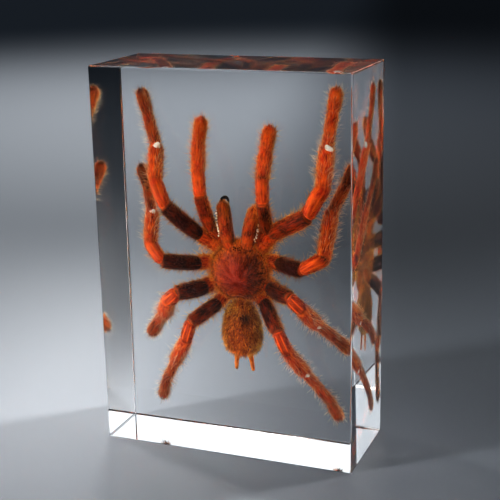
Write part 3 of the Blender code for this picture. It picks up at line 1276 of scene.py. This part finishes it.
LIMBS = (
    Limb(
        "leg_1_left",
        (
            (-3.5, 6.5, 56.5), (-8.0, 5.5, 60.0), (-11.0, 4.0, 61.5), (-19.5, -2.5, 70.0),
            (-23.0, -0.5, 77.0), (-24.5, 7.0, 86.0), (-28.0, 11.0, 94.5), (-30.0, 11.9, 101.0),
        ),
        LEG_FORMS, 1.0, shin_dusk=0.2, pad_radius=1.2, seed=11,
    ),
    Limb(
        "leg_1_right",
        (
            (5.5, 6.5, 57.0), (8.5, 5.5, 60.5), (11.0, 4.0, 63.5), (22.5, -2.5, 70.0),
            (26.5, 0.0, 78.0), (26.0, 8.0, 87.5), (27.0, 11.0, 97.0), (28.0, 11.9, 103.0),
        ),
        LEG_FORMS, 1.02, dusk_side=-0.2, shin_dusk=0.15, pad_radius=1.15, seed=12,
    ),
    Limb(
        "leg_2_left",
        (
            (-4.5, 6.5, 53.0), (-9.0, 5.5, 53.5), (-11.5, 4.5, 53.0), (-21.0, -3.0, 54.0),
            (-25.0, -1.5, 58.5), (-26.5, 6.5, 66.5), (-29.0, 11.0, 73.5), (-31.0, 11.9, 79.0),
        ),
        LEG_FORMS, 0.95, shin_dusk=0.3, pad_radius=0.95, seed=13,
    ),
    Limb(
        "leg_2_right",
        (
            (6.0, 6.5, 53.5), (10.0, 5.5, 55.0), (13.0, 4.5, 55.0), (21.0, -3.0, 55.0),
            (27.0, -2.0, 58.5), (27.5, 7.0, 70.0), (30.5, 11.0, 77.0), (33.0, 11.9, 82.5),
        ),
        LEG_FORMS, 0.95, dusk_side=0.08, shin_dusk=0.2, seed=14,
    ),
    Limb(
        "leg_3_left",
        (
            (-4.0, 6.5, 49.5), (-8.0, 5.5, 47.0), (-10.0, 4.5, 46.0), (-16.5, -4.0, 45.0),
            (-20.0, -1.5, 42.0), (-23.5, 6.0, 36.5), (-27.0, 11.0, 32.5), (-30.0, 11.9, 28.0),
        ),
        LEG_FORMS, 1.02, stripes=0.6, shin_dusk=0.12, silvery=True, seed=15,
    ),
    Limb(
        "leg_3_right",
        (
            (6.0, 6.5, 50.0), (8.5, 5.5, 48.5), (10.5, 4.0, 47.5), (17.5, -4.0, 47.0),
            (20.5, -2.0, 43.5), (23.5, 5.5, 38.0), (28.0, 11.0, 33.0), (32.0, 11.9, 29.5),
        ),
        LEG_FORMS, 0.99, dusk_side=0.02, stripes=0.65, shin_dusk=0.18, pad_radius=0.66, silvery=True, seed=16,
    ),
    Limb(
        "leg_4_left",
        (
            (-2.0, 6.5, 46.5), (-4.5, 5.5, 43.5), (-6.0, 4.5, 41.5), (-12.5, -3.5, 36.5),
            (-15.0, -1.0, 30.5), (-21.0, 6.5, 21.0), (-25.0, 11.0, 14.5), (-27.0, 11.9, 8.0),
        ),
        LEG_FORMS, 0.9, dusk_side=-0.1, stripes=0.65, shin_dusk=0.2, silvery=True, seed=17,
    ),
    Limb(
        "leg_4_right",
        (
            (4.5, 6.5, 46.5), (6.5, 5.5, 44.5), (8.5, 4.5, 43.0), (14.0, -3.5, 36.5),
            (16.0, -1.0, 30.5), (20.0, 6.5, 22.5), (26.5, 11.0, 13.5), (29.0, 11.9, 8.5),
        ),
        LEG_FORMS, 0.92, dusk_side=-0.06, stripes=0.65, shin_dusk=0.2, pad_radius=0.7, silvery=True, seed=18,
    ),
    Limb(
        "palp_left",
        (
            (-1.5, 6.5, 58.5), (-5.5, 5.5, 61.0), (-7.5, 4.0, 63.5), (-9.0, -1.5, 73.5),
            (-10.0, 0.5, 79.5), (-11.5, 7.0, 87.0), (-11.5, 11.0, 93.5),
        ),
        PALP_FORMS, 1.05, frost=0.3, seed=19,
    ),
    Limb(
        "palp_right",
        (
            (4.0, 6.5, 59.0), (7.5, 5.5, 61.5), (9.5, 4.0, 64.0), (9.5, -1.5, 72.5),
            (9.0, 0.5, 79.0), (8.5, 7.0, 85.5), (9.0, 11.0, 92.0),
        ),
        PALP_FORMS, 1.05, dusk_side=0.1, frost=0.3, seed=20,
    ),
)


@dataclass
class LimbSet:
    """All eight legs and both palps, with their bristles, joint pads and claws."""

    limbs: tuple[Limb, ...] = LIMBS
    short_coat: Coat = Coat(6.0, 1.0, thickness=0.075, lean=1.1, spread=0.6, bend=0.3)
    long_coat: Coat = Coat(1.8, 2.6, thickness=0.06, lean=0.45, spread=0.6, bend=0.12, pallor=0.8)
    long_coat_seed_step: int = 7

    def build(self, groups: PatternGroups, grower: BristleGrower) -> None:
        """Makes the limbs' pieces.

        Args:
            groups: The shared patterns.
            grower: What grows the bristles.
        """
        hide = HideFinish("limb_hide").make(groups)
        golden = BristleFinish("golden_bristle").make(groups)
        silvery = BristleFinish("silvery_bristle", silver_share=0.9).make(groups)
        for limb in self.limbs:
            skin = skin_object(limb.name, limb.surfaces(), hide)
            short = replace(self.short_coat, seed=limb.seed)
            long = replace(self.long_coat, seed=limb.seed + self.long_coat_seed_step)
            dress(skin, grower, [short, long], silvery if limb.silvery else golden)
        self._pads(groups)
        claw = GlossFinish("claw", (0.02, 0.01, 0.006, 1.0), (0.09, 0.03, 0.01, 1.0)).make(groups)
        surfaces = [surface for limb in self.limbs for surface in limb.claws()]
        belongs(skin_object("claws", surfaces, claw))

    def _pads(self, groups: PatternGroups) -> None:
        """Makes the pale, glossy pads of soft skin on the lower leg joints.

        Args:
            groups: The shared patterns.
        """
        finish = GlossFinish("joint_pad", (0.93, 0.92, 0.88, 1.0), (0.80, 0.74, 0.62, 1.0), 0.12, 0.6)
        surfaces = [lump for limb in self.limbs if limb.pad_radius for lump in limb.pad()]
        belongs(skin_object("joint_pads", surfaces, finish.make(groups)))


def round_ball(centre: Sequence[float], radius: float, sides: int = 12, rings: int = 8) -> Surface:
    """A ball.

    Args:
        centre: Its middle, in millimetres.
        radius: Its radius, in millimetres.
        sides: How many faces go round it.
        rings: How many rings of points it has.

    Returns:
        Its surface.
    """
    x, y, z = (float(c) for c in centre)
    sections = (
        Section(0.0, (x, y, z - radius), radius, radius),
        Section(1.0, (x, y, z + radius), radius, radius),
    )
    return RoundForm(sections, sides, rings, (radius, radius)).surface()


# The spider's body


@dataclass
class HeadShield:
    """The shield over the spider's front part, with the breastplate under it.

    Sizes are in millimetres. A groove is its angle in degrees from the head, its depth and its width.
    """

    middle_x: float = 1.1
    middle_z: float = 52.2
    edge_y: float = 3.9
    half_width: float = 8.6
    half_length: float = 8.8
    dome: float = 3.7
    head_rise: float = 1.1
    breast_depth: float = 3.3
    pit_z: float = 48.6
    grooves: tuple[Triple, ...] = (
        (62.0, 0.32, 0.5), (92.0, 0.32, 0.5), (122.0, 0.32, 0.5), (150.0, 0.32, 0.5), (31.0, 0.5, 0.75),
    )
    sides: int = 96
    rings: int = 30

    def _edge(self, angle: np.ndarray) -> tuple[np.ndarray, np.ndarray]:
        """The shield's outline.

        Args:
            angle: Directions, from 0 towards the head.

        Returns:
            The outline's x and z.
        """
        z = np.cos(angle)
        x = np.sin(angle)
        x = np.sign(x) * np.abs(x) ** 0.92
        narrowing = np.where(z > 0, 1 - 0.34 * np.clip(z, 0, 1) ** 1.6, 1)
        z = np.sign(z) * np.abs(z) ** 0.9
        notch = np.where(z < 0, 0.7 * hump(x * self.half_width, 0.0, 2.2), 0)
        across = self.middle_x + x * narrowing * self.half_width
        return across, self.middle_z + z * self.half_length + notch

    def _top(self, x: np.ndarray, z: np.ndarray, share: np.ndarray) -> np.ndarray:
        """How far the shield rises above its edge.

        Args:
            x: Places across.
            z: Places along the body.
            share: How far each place lies from the pit towards the edge, from 0 to 1.

        Returns:
            The rise.
        """
        across, along = x - self.middle_x, z - self.pit_z
        rise = self.dome * np.clip(1 - share**2.6, 0, 1) ** 0.62
        head = hump(across, 0.0, 3.7) * hump(z, 56.3, 4.4)
        rise += self.head_rise * head * np.clip(1 - share**6, 0, 1)
        reach = np.hypot(across, along)
        way = np.arctan2(across, along)
        window = np.clip((reach - 1.2) / 1.5, 0, 1) * np.clip((1 - share) * 5, 0, 1)
        for degrees, depth, width in self.grooves:
            for side in (-1, 1):
                turn = way - side * math.radians(degrees)
                groove = depth * hump(reach * np.sin(turn), 0.0, width)
                rise -= np.where(np.cos(turn) > 0, groove, 0) * window
        return rise - 0.95 * hump(across, 0.0, 1.35) * hump(along, 0.0, 0.7)

    def surface(self) -> Surface:
        """Builds the shield and the breastplate as one closed form.

        Returns:
            Its surface.
        """
        angle = np.arange(self.sides) * 2 * math.pi / self.sides
        edge_x, edge_z = self._edge(angle)
        share = np.sin(np.linspace(0, math.pi / 2, self.rings + 1))[1:]
        points, flows, marks = [], [], {mark: [] for mark in MARKS}
        for under in (False, True):
            for s in share if not under else share[-2::-1]:
                x = self.middle_x + (edge_x - self.middle_x) * s
                z = self.pit_z + (edge_z - self.pit_z) * s
                shares = np.full(self.sides, s)
                if under:
                    y = self.edge_y + self.breast_depth * (1 - shares**2.4) ** 0.7
                else:
                    y = self.edge_y - self._top(x, z, shares)
                points.append(np.stack([x, y, z], axis=1))
                out = [edge_x - self.middle_x, np.zeros(self.sides), edge_z - self.pit_z]
                flows.append(np.stack(out / np.linalg.norm(out, axis=0), axis=1))
                self._mark(marks, x, shares, under)
        pit_rise = self._top(*np.array([[self.middle_x], [self.pit_z], [0.0]]))[0]
        top = np.array([[self.middle_x, self.edge_y - pit_rise, self.pit_z]])
        low = np.array([[self.middle_x, self.edge_y + self.breast_depth, self.pit_z]])
        faces, corners = self._faces(len(points))
        for mark in MARKS:
            marks[mark] = np.concatenate([*marks[mark], [marks[mark][0].mean()], [marks[mark][-1].mean()]])
        flow = np.vstack([*flows, [[0, 0, 1]], [[0, 0, 1]]])
        count = self.sides * len(points) + 2
        return Surface(
            np.vstack([*points, top, low]), faces, corners, np.zeros(count), np.zeros(count), flow, marks
        )

    def _mark(
        self, marks: dict[str, list[np.ndarray]], x: np.ndarray, share: np.ndarray, under: bool
    ) -> None:
        """Writes where the shield is dusky, pale or bristly, with painted shade on the right half of its top.

        Args:
            marks: The marks so far, added to in place.
            x: The ring's places across.
            share: How far it lies towards the edge.
            under: Whether it is on the breastplate.
        """
        # right: how far a point lies in the shield's right half, whose top is darkened as painted shade.
        right = np.clip((x - self.middle_x - 0.5) / 4, 0, 1)
        if under:
            said = {"dusk": 0.6, "gilt": 0.4, "side": 1.0, "coat": 0.8, "reach": 1.0}
        else:
            said = {
                "dusk": 0.14 + 0.62 * right * (1 - 0.5 * share**4),
                "gilt": 0.08 + 0.6 * share**4,
                "bare": 0.6 * (1 - share**3),
                # side: the shield's edge, where the bristles turn gold as painted rim light.
                "side": share**4,
                "pale": 0.8 * hump(share, 0.96, 0.012) * (x > self.middle_x),
                "coat": 0.25 + 1.5 * share**6,
                "reach": 0.7 + 0.9 * share**6,
            }
        for mark, values in marks.items():
            values.append(np.zeros(len(x)) + said.get(mark, 0.0))

    def _faces(self, rings: int) -> tuple[list[tuple[int, ...]], list[tuple[float, float]]]:
        """Joins the rings.

        Args:
            rings: How many there are.

        Returns:
            The faces, and the map's corners.
        """
        faces, corners = [], []
        first, last = rings * self.sides, rings * self.sides + 1
        for k in range(self.sides):
            other = (k + 1) % self.sides
            left, right = k / self.sides, (k + 1) / self.sides
            faces.append((first, other, k))
            corners += [(left, 0), (right, 1), (left, 1)]
            for i in range(rings - 1):
                here, there = i * self.sides, (i + 1) * self.sides
                faces.append((here + k, here + other, there + other, there + k))
                corners += [(left, i + 1), (right, i + 1), (right, i + 2), (left, i + 2)]
            end = (rings - 1) * self.sides
            faces.append((last, end + k, end + other))
            corners += [(left, rings + 1), (left, rings), (right, rings)]
        return faces, corners


@dataclass
class Abdomen:
    """The spider's rear part with its waist and spinnerets. Sizes are in millimetres."""

    middle_x: float = 1.3
    depth_y: float = 4.3
    half_width: float = 5.3
    half_depth: float = 4.3

    def rear(self) -> Surface:
        """Builds the rear part.

        Returns:
            Its surface.
        """
        stops = ((0.0, 43.4, 0.42), (0.12, 41.4, 0.7), (0.35, 38.0, 0.93), (0.62, 33.2, 1.05),
                 (0.85, 29.2, 0.9), (1.0, 26.9, 0.55))
        sections = tuple(
            Section(s, (self.middle_x, self.depth_y, z), self.half_width * size, self.half_depth * size)
            for s, z, size in stops
        )
        surface = RoundForm(sections, 48, 40, (2.2, 2.6)).surface()
        count = len(surface.points)
        x, z = surface.points[:, 0], surface.points[:, 2]
        bare = hump(x, 3.6, 1.7) * hump(z, 38.6, 2.2)
        # A lighter, golder patch on the front left of the rear part is a painted highlight. side also adds
        # painted rim light at the edges.
        painted_highlight = hump(x, -0.2, 3.0) * hump(z, 41.2, 1.8)
        surface.marks = {
            "dusk": np.clip(0.3 + 0.6 * bare - 0.3 * painted_highlight, 0, 0.85),
            "gilt": np.full(count, 0.5),
            "side": np.clip(1.1 - np.clip(surface.height, 0, 1) ** 1.2 + 0.8 * painted_highlight, 0, 1),
            "coat": 1 - 0.75 * bare,
            "reach": 1 - 0.3 * bare,
        }
        return surface

    def waist(self) -> Surface:
        """Builds the narrow waist between the two body parts.

        Returns:
            Its surface.
        """
        places = ((0.0, 47.0, 1.6), (0.5, 43.5, 1.2), (1.0, 40.5, 1.7))
        sections = tuple(Section(s, (self.middle_x, 4.2, z), girth, girth) for s, z, girth in places)
        surface = RoundForm(sections, 16, 10, (0.5, 0.5)).surface()
        count = len(surface.points)
        surface.marks = {"dusk": np.full(count, 0.4), "gilt": np.full(count, 0.5)}
        return surface

    def spinnerets(self) -> list[Surface]:
        """Builds the two finger-like spinnerets, each of three short articles.

        Returns:
            Their surfaces.
        """
        made = []
        stops = ((28.6, 0.86), (26.0, 0.8), (23.9, 0.68), (21.4, 0.48))
        root_z = stops[0][0]
        for x, lean in ((-0.6, -0.7), (3.1, 0.8)):
            for (z, girth), (next_z, next_girth) in zip(stops, stops[1:]):
                down, further, tip = root_z - z, root_z - next_z, next_girth * 0.92
                start = (x + lean * down / 7, 5.6 + down * 0.14, z + 0.2)
                end = (x + lean * further / 7, 5.6 + further * 0.14, next_z - 0.15)
                sections = (Section(0.0, start, girth, girth), Section(1.0, end, tip, tip))
                surface = RoundForm(sections, 14, 8, (0.4, 0.35)).surface()
                count = len(surface.points)
                shares = {"gilt": 0.9, "coat": 1.0, "reach": 0.45}
                surface.marks = {mark: np.full(count, share) for mark, share in shares.items()}
                made.append(surface)
        return made


@dataclass
class Jaw:
    """One jaw and its fang: stations of (place, half width, half height), in millimetres."""

    name: str
    stations: tuple[tuple[Triple, float, float], ...]
    fang: tuple[tuple[Triple, float], ...]
    glints: tuple[Triple, Triple]
    seed: int

    def surface(self) -> Surface:
        """Builds the jaw.

        Returns:
            Its surface.
        """
        shares = self._shares([place for place, _, _ in self.stations])
        sections = tuple(Section(s, *station) for s, station in zip(shares, self.stations))
        surface = RoundForm(sections, 28, 26, (1.2, 1.6)).surface()
        side = np.abs(surface.height)
        surface.marks = {
            "dusk": np.clip(0.22 + 0.55 * (1 - side) ** 1.5, 0, 1),
            "gilt": 0.35 + 0.5 * np.clip(surface.along - 0.6, 0, 1),
            # side makes the bristles gold at the jaw's flanks and front end: painted rim light.
            "side": np.clip(1 - side**1.5 + 1.6 * (surface.along - 0.75), 0, 1),
            "coat": 0.6 + 1.2 * np.clip(surface.along - 0.5, 0, 1),
            "reach": np.ones(len(surface.points)),
        }
        return surface

    def fang_surface(self) -> Surface:
        """Builds the fang.

        Returns:
            Its surface.
        """
        shares = self._shares([place for place, _ in self.fang])
        sections = tuple(Section(s, place, girth, girth) for s, (place, girth) in zip(shares, self.fang))
        return RoundForm(sections, 16, 30, (0.4, 0.1)).surface()

    def glint_surfaces(self) -> list[Surface]:
        """Builds the tiny air bubbles that cling to the jaw's outer edge, with a painted glint as their pale
        colour.

        Returns:
            Their surfaces.
        """
        random = np.random.default_rng(self.seed)
        low, high = (np.array(place) for place in self.glints)
        made = []
        for share in np.linspace(0, 1, 13):
            centre = low + (high - low) * share + random.normal(0, 0.16, 3)
            made.append(round_ball(centre, random.uniform(0.18, 0.42), 10, 7))
        return made

    @staticmethod
    def _shares(places: Sequence[Triple]) -> list[float]:
        """How far along its line each place lies.

        Args:
            places: The line's places.

        Returns:
            Shares from 0 to 1.
        """
        steps = np.linalg.norm(np.diff(np.array(places), axis=0), axis=1)
        reach = np.concatenate([[0], np.cumsum(steps)])
        return list(reach / reach[-1])


JAWS = (
    Jaw(
        "jaw_left",
        (
            ((-0.6, 4.6, 56.5), 1.8, 2.0), ((-2.3, 3.5, 60.5), 2.05, 2.4), ((-2.9, 2.7, 65.5), 2.1, 2.5),
            ((-3.4, 3.1, 69.8), 1.9, 2.1), ((-3.5, 3.5, 71.7), 1.45, 1.6),
        ),
        (
            ((-4.0, 4.0, 70.4), 0.75), ((-3.9, 3.9, 72.0), 0.62), ((-3.1, 4.5, 72.8), 0.5),
            ((-2.5, 5.4, 72.1), 0.4), ((-2.6, 6.6, 70.4), 0.1),
        ),
        ((-4.6, 1.7, 61.8), (-5.2, 1.4, 69.4)),
        31,
    ),
    Jaw(
        "jaw_right",
        (
            ((2.2, 4.6, 56.5), 1.8, 2.0), ((3.7, 3.5, 60.5), 2.05, 2.4), ((5.0, 2.7, 65.5), 2.1, 2.5),
            ((5.9, 3.1, 69.2), 1.85, 2.1), ((6.1, 3.5, 70.9), 1.3, 1.5),
        ),
        (
            ((6.1, 4.2, 70.0), 0.7), ((6.1, 5.8, 70.9), 0.6), ((5.6, 7.4, 70.0), 0.48),
            ((4.9, 8.2, 68.0), 0.33), ((4.4, 8.3, 65.6), 0.08),
        ),
        ((6.0, 2.4, 61.0), (7.4, 2.2, 65.6)),
        32,
    ),
)


# The eyes: how far each of one side's lies from the middle, its height and its radius, in millimetres
EYES = ((0.32, 59.0, 0.24), (0.85, 59.3, 0.2), (0.95, 58.6, 0.2), (0.45, 58.4, 0.16))
EYES_MIDDLE_MM = (1.2, -0.05)


@dataclass
class SpiderBody:
    """The shields, rear part, waist, spinnerets, jaws, fangs and eyes."""

    shield: HeadShield = field(default_factory=HeadShield)
    abdomen: Abdomen = field(default_factory=Abdomen)
    jaws: tuple[Jaw, ...] = JAWS
    shield_coat: Coat = Coat(7.0, 1.15, thickness=0.06, lean=1.4, spread=0.6, bend=0.3, seed=41)
    abdomen_coat: Coat = Coat(12.0, 1.6, thickness=0.085, lean=1.1, spread=0.9, bend=0.25, seed=42)
    abdomen_long_coat: Coat = Coat(3.0, 2.4, thickness=0.075, lean=0.9, spread=0.9, bend=0.2, seed=43)
    jaw_coat: Coat = Coat(8.0, 0.9, thickness=0.06, lean=1.4, spread=0.5, bend=0.3, seed=44)

    def build(self, groups: PatternGroups, grower: BristleGrower) -> None:
        """Makes the body's pieces.

        Args:
            groups: The shared patterns.
            grower: What grows the bristles.
        """
        hide = HideFinish(
            "shield_hide",
            deep=(0.06, 0.003, 0.001, 1.0),
            bright=(0.17, 0.010, 0.003, 1.0),
            ruby=(0.14, 0.005, 0.002, 1.0),
            streaks_around=44.0,
        ).make(groups)
        bristle = BristleFinish(
            "body_bristle", root=(0.12, 0.012, 0.002, 1.0), side=(0.9, 0.40, 0.05, 1.0), silver_share=0.1
        ).make(groups)
        fur = BristleFinish(
            "abdomen_bristle",
            root=(0.17, 0.012, 0.002, 1.0),
            tip=(1.0, 0.23, 0.016, 1.0),
            side=(1.0, 0.60, 0.09, 1.0),
            silver_share=0.1,
            clump=0.6,
            clumps_per_metre=620.0,
        ).make(groups)
        shield = skin_object("head_shield", [self.shield.surface()], hide)
        dress(shield, grower, [self.shield_coat], bristle)
        self._build_abdomen(groups, grower, fur)
        jaw_hide = HideFinish(
            "jaw_hide", deep=(0.08, 0.005, 0.002, 1.0), bright=(0.36, 0.032, 0.004, 1.0)
        ).make(groups)
        for jaw in self.jaws:
            skin = skin_object(jaw.name, [jaw.surface()], jaw_hide)
            dress(skin, grower, [self.jaw_coat], bristle)
        self._small_parts(groups)

    def _build_abdomen(
        self, groups: PatternGroups, grower: BristleGrower, bristle: bpy.types.Material
    ) -> None:
        """Makes the rear part, the waist and the spinnerets.

        Args:
            groups: The shared patterns.
            grower: What grows the bristles.
            bristle: The bristles' material.
        """
        hide = HideFinish(
            "abdomen_hide",
            deep=(0.06, 0.008, 0.002, 1.0),
            bright=(0.24, 0.04, 0.006, 1.0),
            streaks_around=40.0,
        ).make(groups)
        rear = skin_object("abdomen", [self.abdomen.rear()], hide)
        dress(rear, grower, [self.abdomen_coat, self.abdomen_long_coat], bristle)
        belongs(skin_object("waist", [self.abdomen.waist()], hide))
        finger = HideFinish(
            "spinneret_hide", deep=(0.50, 0.11, 0.012, 1.0), bright=(0.85, 0.25, 0.03, 1.0)
        ).make(groups)
        spinnerets = skin_object("spinnerets", self.abdomen.spinnerets(), finger)
        dress(spinnerets, grower, [self.jaw_coat], bristle)

    def _small_parts(self, groups: PatternGroups) -> None:
        """Makes the fangs, eyes and clinging bubbles, the bubbles with painted glints.

        Args:
            groups: The shared patterns.
        """
        horn = GlossFinish("fang_horn", (0.008, 0.006, 0.006, 1.0), (0.03, 0.01, 0.008, 1.0), 0.1, 0.6)
        surfaces = [jaw.fang_surface() for jaw in self.jaws]
        belongs(skin_object("fangs", surfaces, horn.make(groups)))
        eye = GlossFinish("eye_gloss", (0.012, 0.008, 0.006, 1.0), (0.05, 0.02, 0.01, 1.0), 0.05, 0.8)
        x, y = EYES_MIDDLE_MM
        eyes = [round_ball((x + side * off, y, z), girth) for side in (-1, 1) for off, z, girth in EYES]
        belongs(skin_object("eyes", eyes, eye.make(groups)))
        # The bubbles' pale gold-white colour is a painted glint.
        glint = GlossFinish("painted_glint_bubble", (0.95, 0.80, 0.50, 1.0), (0.98, 0.95, 0.88, 1.0), 0.08, 0.8)
        surfaces = [surface for jaw in self.jaws for surface in jaw.glint_surfaces()]
        belongs(skin_object("jaw_painted_glints", surfaces, glint.make(groups)))


# The block and what stands round it


@dataclass
class ResinBlock:
    """The clear block. Sizes are in metres."""

    width: float = 0.075
    depth: float = 0.0305
    height: float = 0.110
    rounding: float = 0.0005
    steps: int = 3

    def build(self, groups: PatternGroups) -> None:
        """Makes the block with its small polished edges.

        Args:
            groups: The shared patterns.
        """
        shape = bmesh.new()
        bmesh.ops.create_cube(shape, size=1)
        for vert in shape.verts:
            x, y, z = vert.co
            vert.co = Vector((x * self.width, y * self.depth, (z + 0.5) * self.height))
        mesh = plain_copy("block_rough", shape)
        mesh.polygons.foreach_set("use_smooth", [True] * len(mesh.polygons))
        rough = placed("block_rough", mesh)
        edge = rough.modifiers.new("polished_edges", "BEVEL")
        edge.width = self.rounding
        edge.segments = self.steps
        edge.harden_normals = True
        done = plain_mesh(rough)
        done.name = "resin_block"
        done.materials.append(ResinFinish().make(groups))
        belongs(placed(done.name, done), RESIN_NODES)


@dataclass
class Studio:
    """The camera, the pale floor with its painted shade, and the soft lights. Lengths are in metres."""

    lens_mm: float = 82.86
    azimuth: float = 21.81
    elevation: float = 15.98
    roll: float = -1.21
    camera_place: Triple = (0.1195, -0.2914, 0.1470)
    floor_half: float = 3.0
    floor_drop: float = 0.00005
    pale: Colour = (0.27, 0.29, 0.32, 1.0)
    painted_falloff: Colour = (0.045, 0.052, 0.063, 1.0)

    def place_camera(self) -> None:
        """Puts the camera where the photograph was taken from."""
        a, e, r = (math.radians(v) for v in (self.azimuth, self.elevation, self.roll))
        back = Vector((math.sin(a) * math.cos(e), -math.cos(a) * math.cos(e), math.sin(e)))
        right = Vector((0, 0, 1)).cross(back).normalized()
        up = back.cross(right)
        turned_right = right * math.cos(r) + up * math.sin(r)
        turned_up = up * math.cos(r) - right * math.sin(r)
        data = bpy.data.cameras.new("photo_camera")
        data.lens = self.lens_mm
        data.sensor_width = 36.0
        data.clip_start = 0.01
        camera = placed("photo_camera", data)
        turn = Matrix((turned_right, turned_up, back)).transposed().to_4x4()
        camera.matrix_world = Matrix.Translation(self.camera_place) @ turn
        bpy.context.scene.camera = camera

    def set_film(self) -> None:
        """Keeps the picture's colours as full as the photograph's."""
        view = bpy.context.scene.view_settings
        view.view_transform = "Standard"
        view.look = "High Contrast"

    def lay_floor(self) -> None:
        """Lays the floor: pale, with painted shade that darkens it softly on the right behind the block."""
        shape = bmesh.new()
        bmesh.ops.create_grid(shape, x_segments=24, y_segments=24, size=self.floor_half)
        mesh = plain_copy("floor", shape)
        floor = placed("floor", mesh)
        sheet, shader, made = start_material("studio_floor")
        place = sheet.add("ShaderNodeTexCoord").outputs["Object"]
        parts = sheet.add("ShaderNodeSeparateXYZ", {0: place}).outputs
        # The floor's colour darkens towards the right behind the block: painted shade for light falling off.
        slope = sheet.maths("ADD", parts["X"], sheet.product(parts["Y"], 0.25))
        share = sheet.product(sheet.span(slope, -0.08, 0.05), sheet.span(parts["Y"], -0.2, 0.06))
        sheet.feed(shader.inputs["Base Color"], sheet.blend(share, self.pale, self.painted_falloff))
        shader.inputs["Roughness"].default_value = 0.55
        shader.inputs["Specular IOR Level"].default_value = 0.3
        mesh.materials.append(made)
        mesh.shade_smooth()
        floor.location.z = -self.floor_drop

    def hang_lights(self) -> None:
        """Hangs the soft lights and fills in with a dim even world."""
        middle = (0.0, 0.0, 0.055)
        upper = (0.0, 0.0, 0.062)
        white = (1.0, 0.98, 0.95)
        self._softbox("key", (-0.62, -0.56, 0.12), upper, (0.16, 0.12), 0.62, white, 14)
        self._softbox("rim", (-0.80, 0.30, 0.12), upper, (0.16, 0.12), 0.29, white, 14)
        self._softbox("fringe", (0.66, 0.60, 0.20), middle, (0.20, 0.16), 0.4, white, 18)
        self._softbox("pool", (-0.30, 0.60, 1.20), (-0.25, 0.55, 0.0), (0.5, 0.5), 1.9, white, 60)
        self._softbox("near", (-0.22, 0.42, 0.50), (-0.08, 0.07, 0.0), (0.10, 0.10), 0.035, white, 22)
        self._softbox("back", (-0.05, 0.80, 0.44), middle, (1.2, 0.22), 0.7, (0.95, 0.98, 1.0), 180)
        self._softbox("right", (0.75, -0.30, 0.30), middle, (0.4, 0.4), 0.04, (0.9, 0.95, 1.0), 60)
        world = bpy.data.worlds.new("studio_air")
        world.use_nodes = True
        air = world.node_tree.nodes["Background"]
        air.inputs["Color"].default_value = (0.55, 0.66, 0.80, 1.0)
        air.inputs["Strength"].default_value = 0.09
        bpy.context.scene.world = world

    @staticmethod
    def _softbox(
        name: str,
        place: Triple,
        target: Triple,
        size: tuple[float, float],
        power: float,
        colour: Triple,
        beam_degrees: float,
    ) -> None:
        """Hangs one softbox.

        Args:
            name: The light's name.
            place: Where it hangs.
            target: What it points at.
            size: Its width and height.
            power: Its power in watts.
            colour: Its colour.
            beam_degrees: How wide its beam opens.
        """
        data = bpy.data.lights.new(name, "AREA")
        data.shape = "RECTANGLE"
        data.size, data.size_y = size
        data.energy = power
        data.color = colour
        data.spread = math.radians(beam_degrees)
        lamp = placed(name, data)
        way = Vector(place) - Vector(target)
        lamp.matrix_world = Matrix.Translation(place) @ way.to_track_quat("Z", "Y").to_matrix().to_4x4()


def main() -> None:
    """Builds the studio, the block and the spider."""
    logging.basicConfig(level=logging.INFO, format="%(message)s")
    groups = PatternGroups()
    studio = Studio()
    studio.place_camera()
    studio.set_film()
    studio.lay_floor()
    studio.hang_lights()
    grower = BristleGrower()
    LimbSet().build(groups, grower)
    SpiderBody().build(groups, grower)
    ResinBlock().build(groups)


if __name__ == "__main__":
    main()
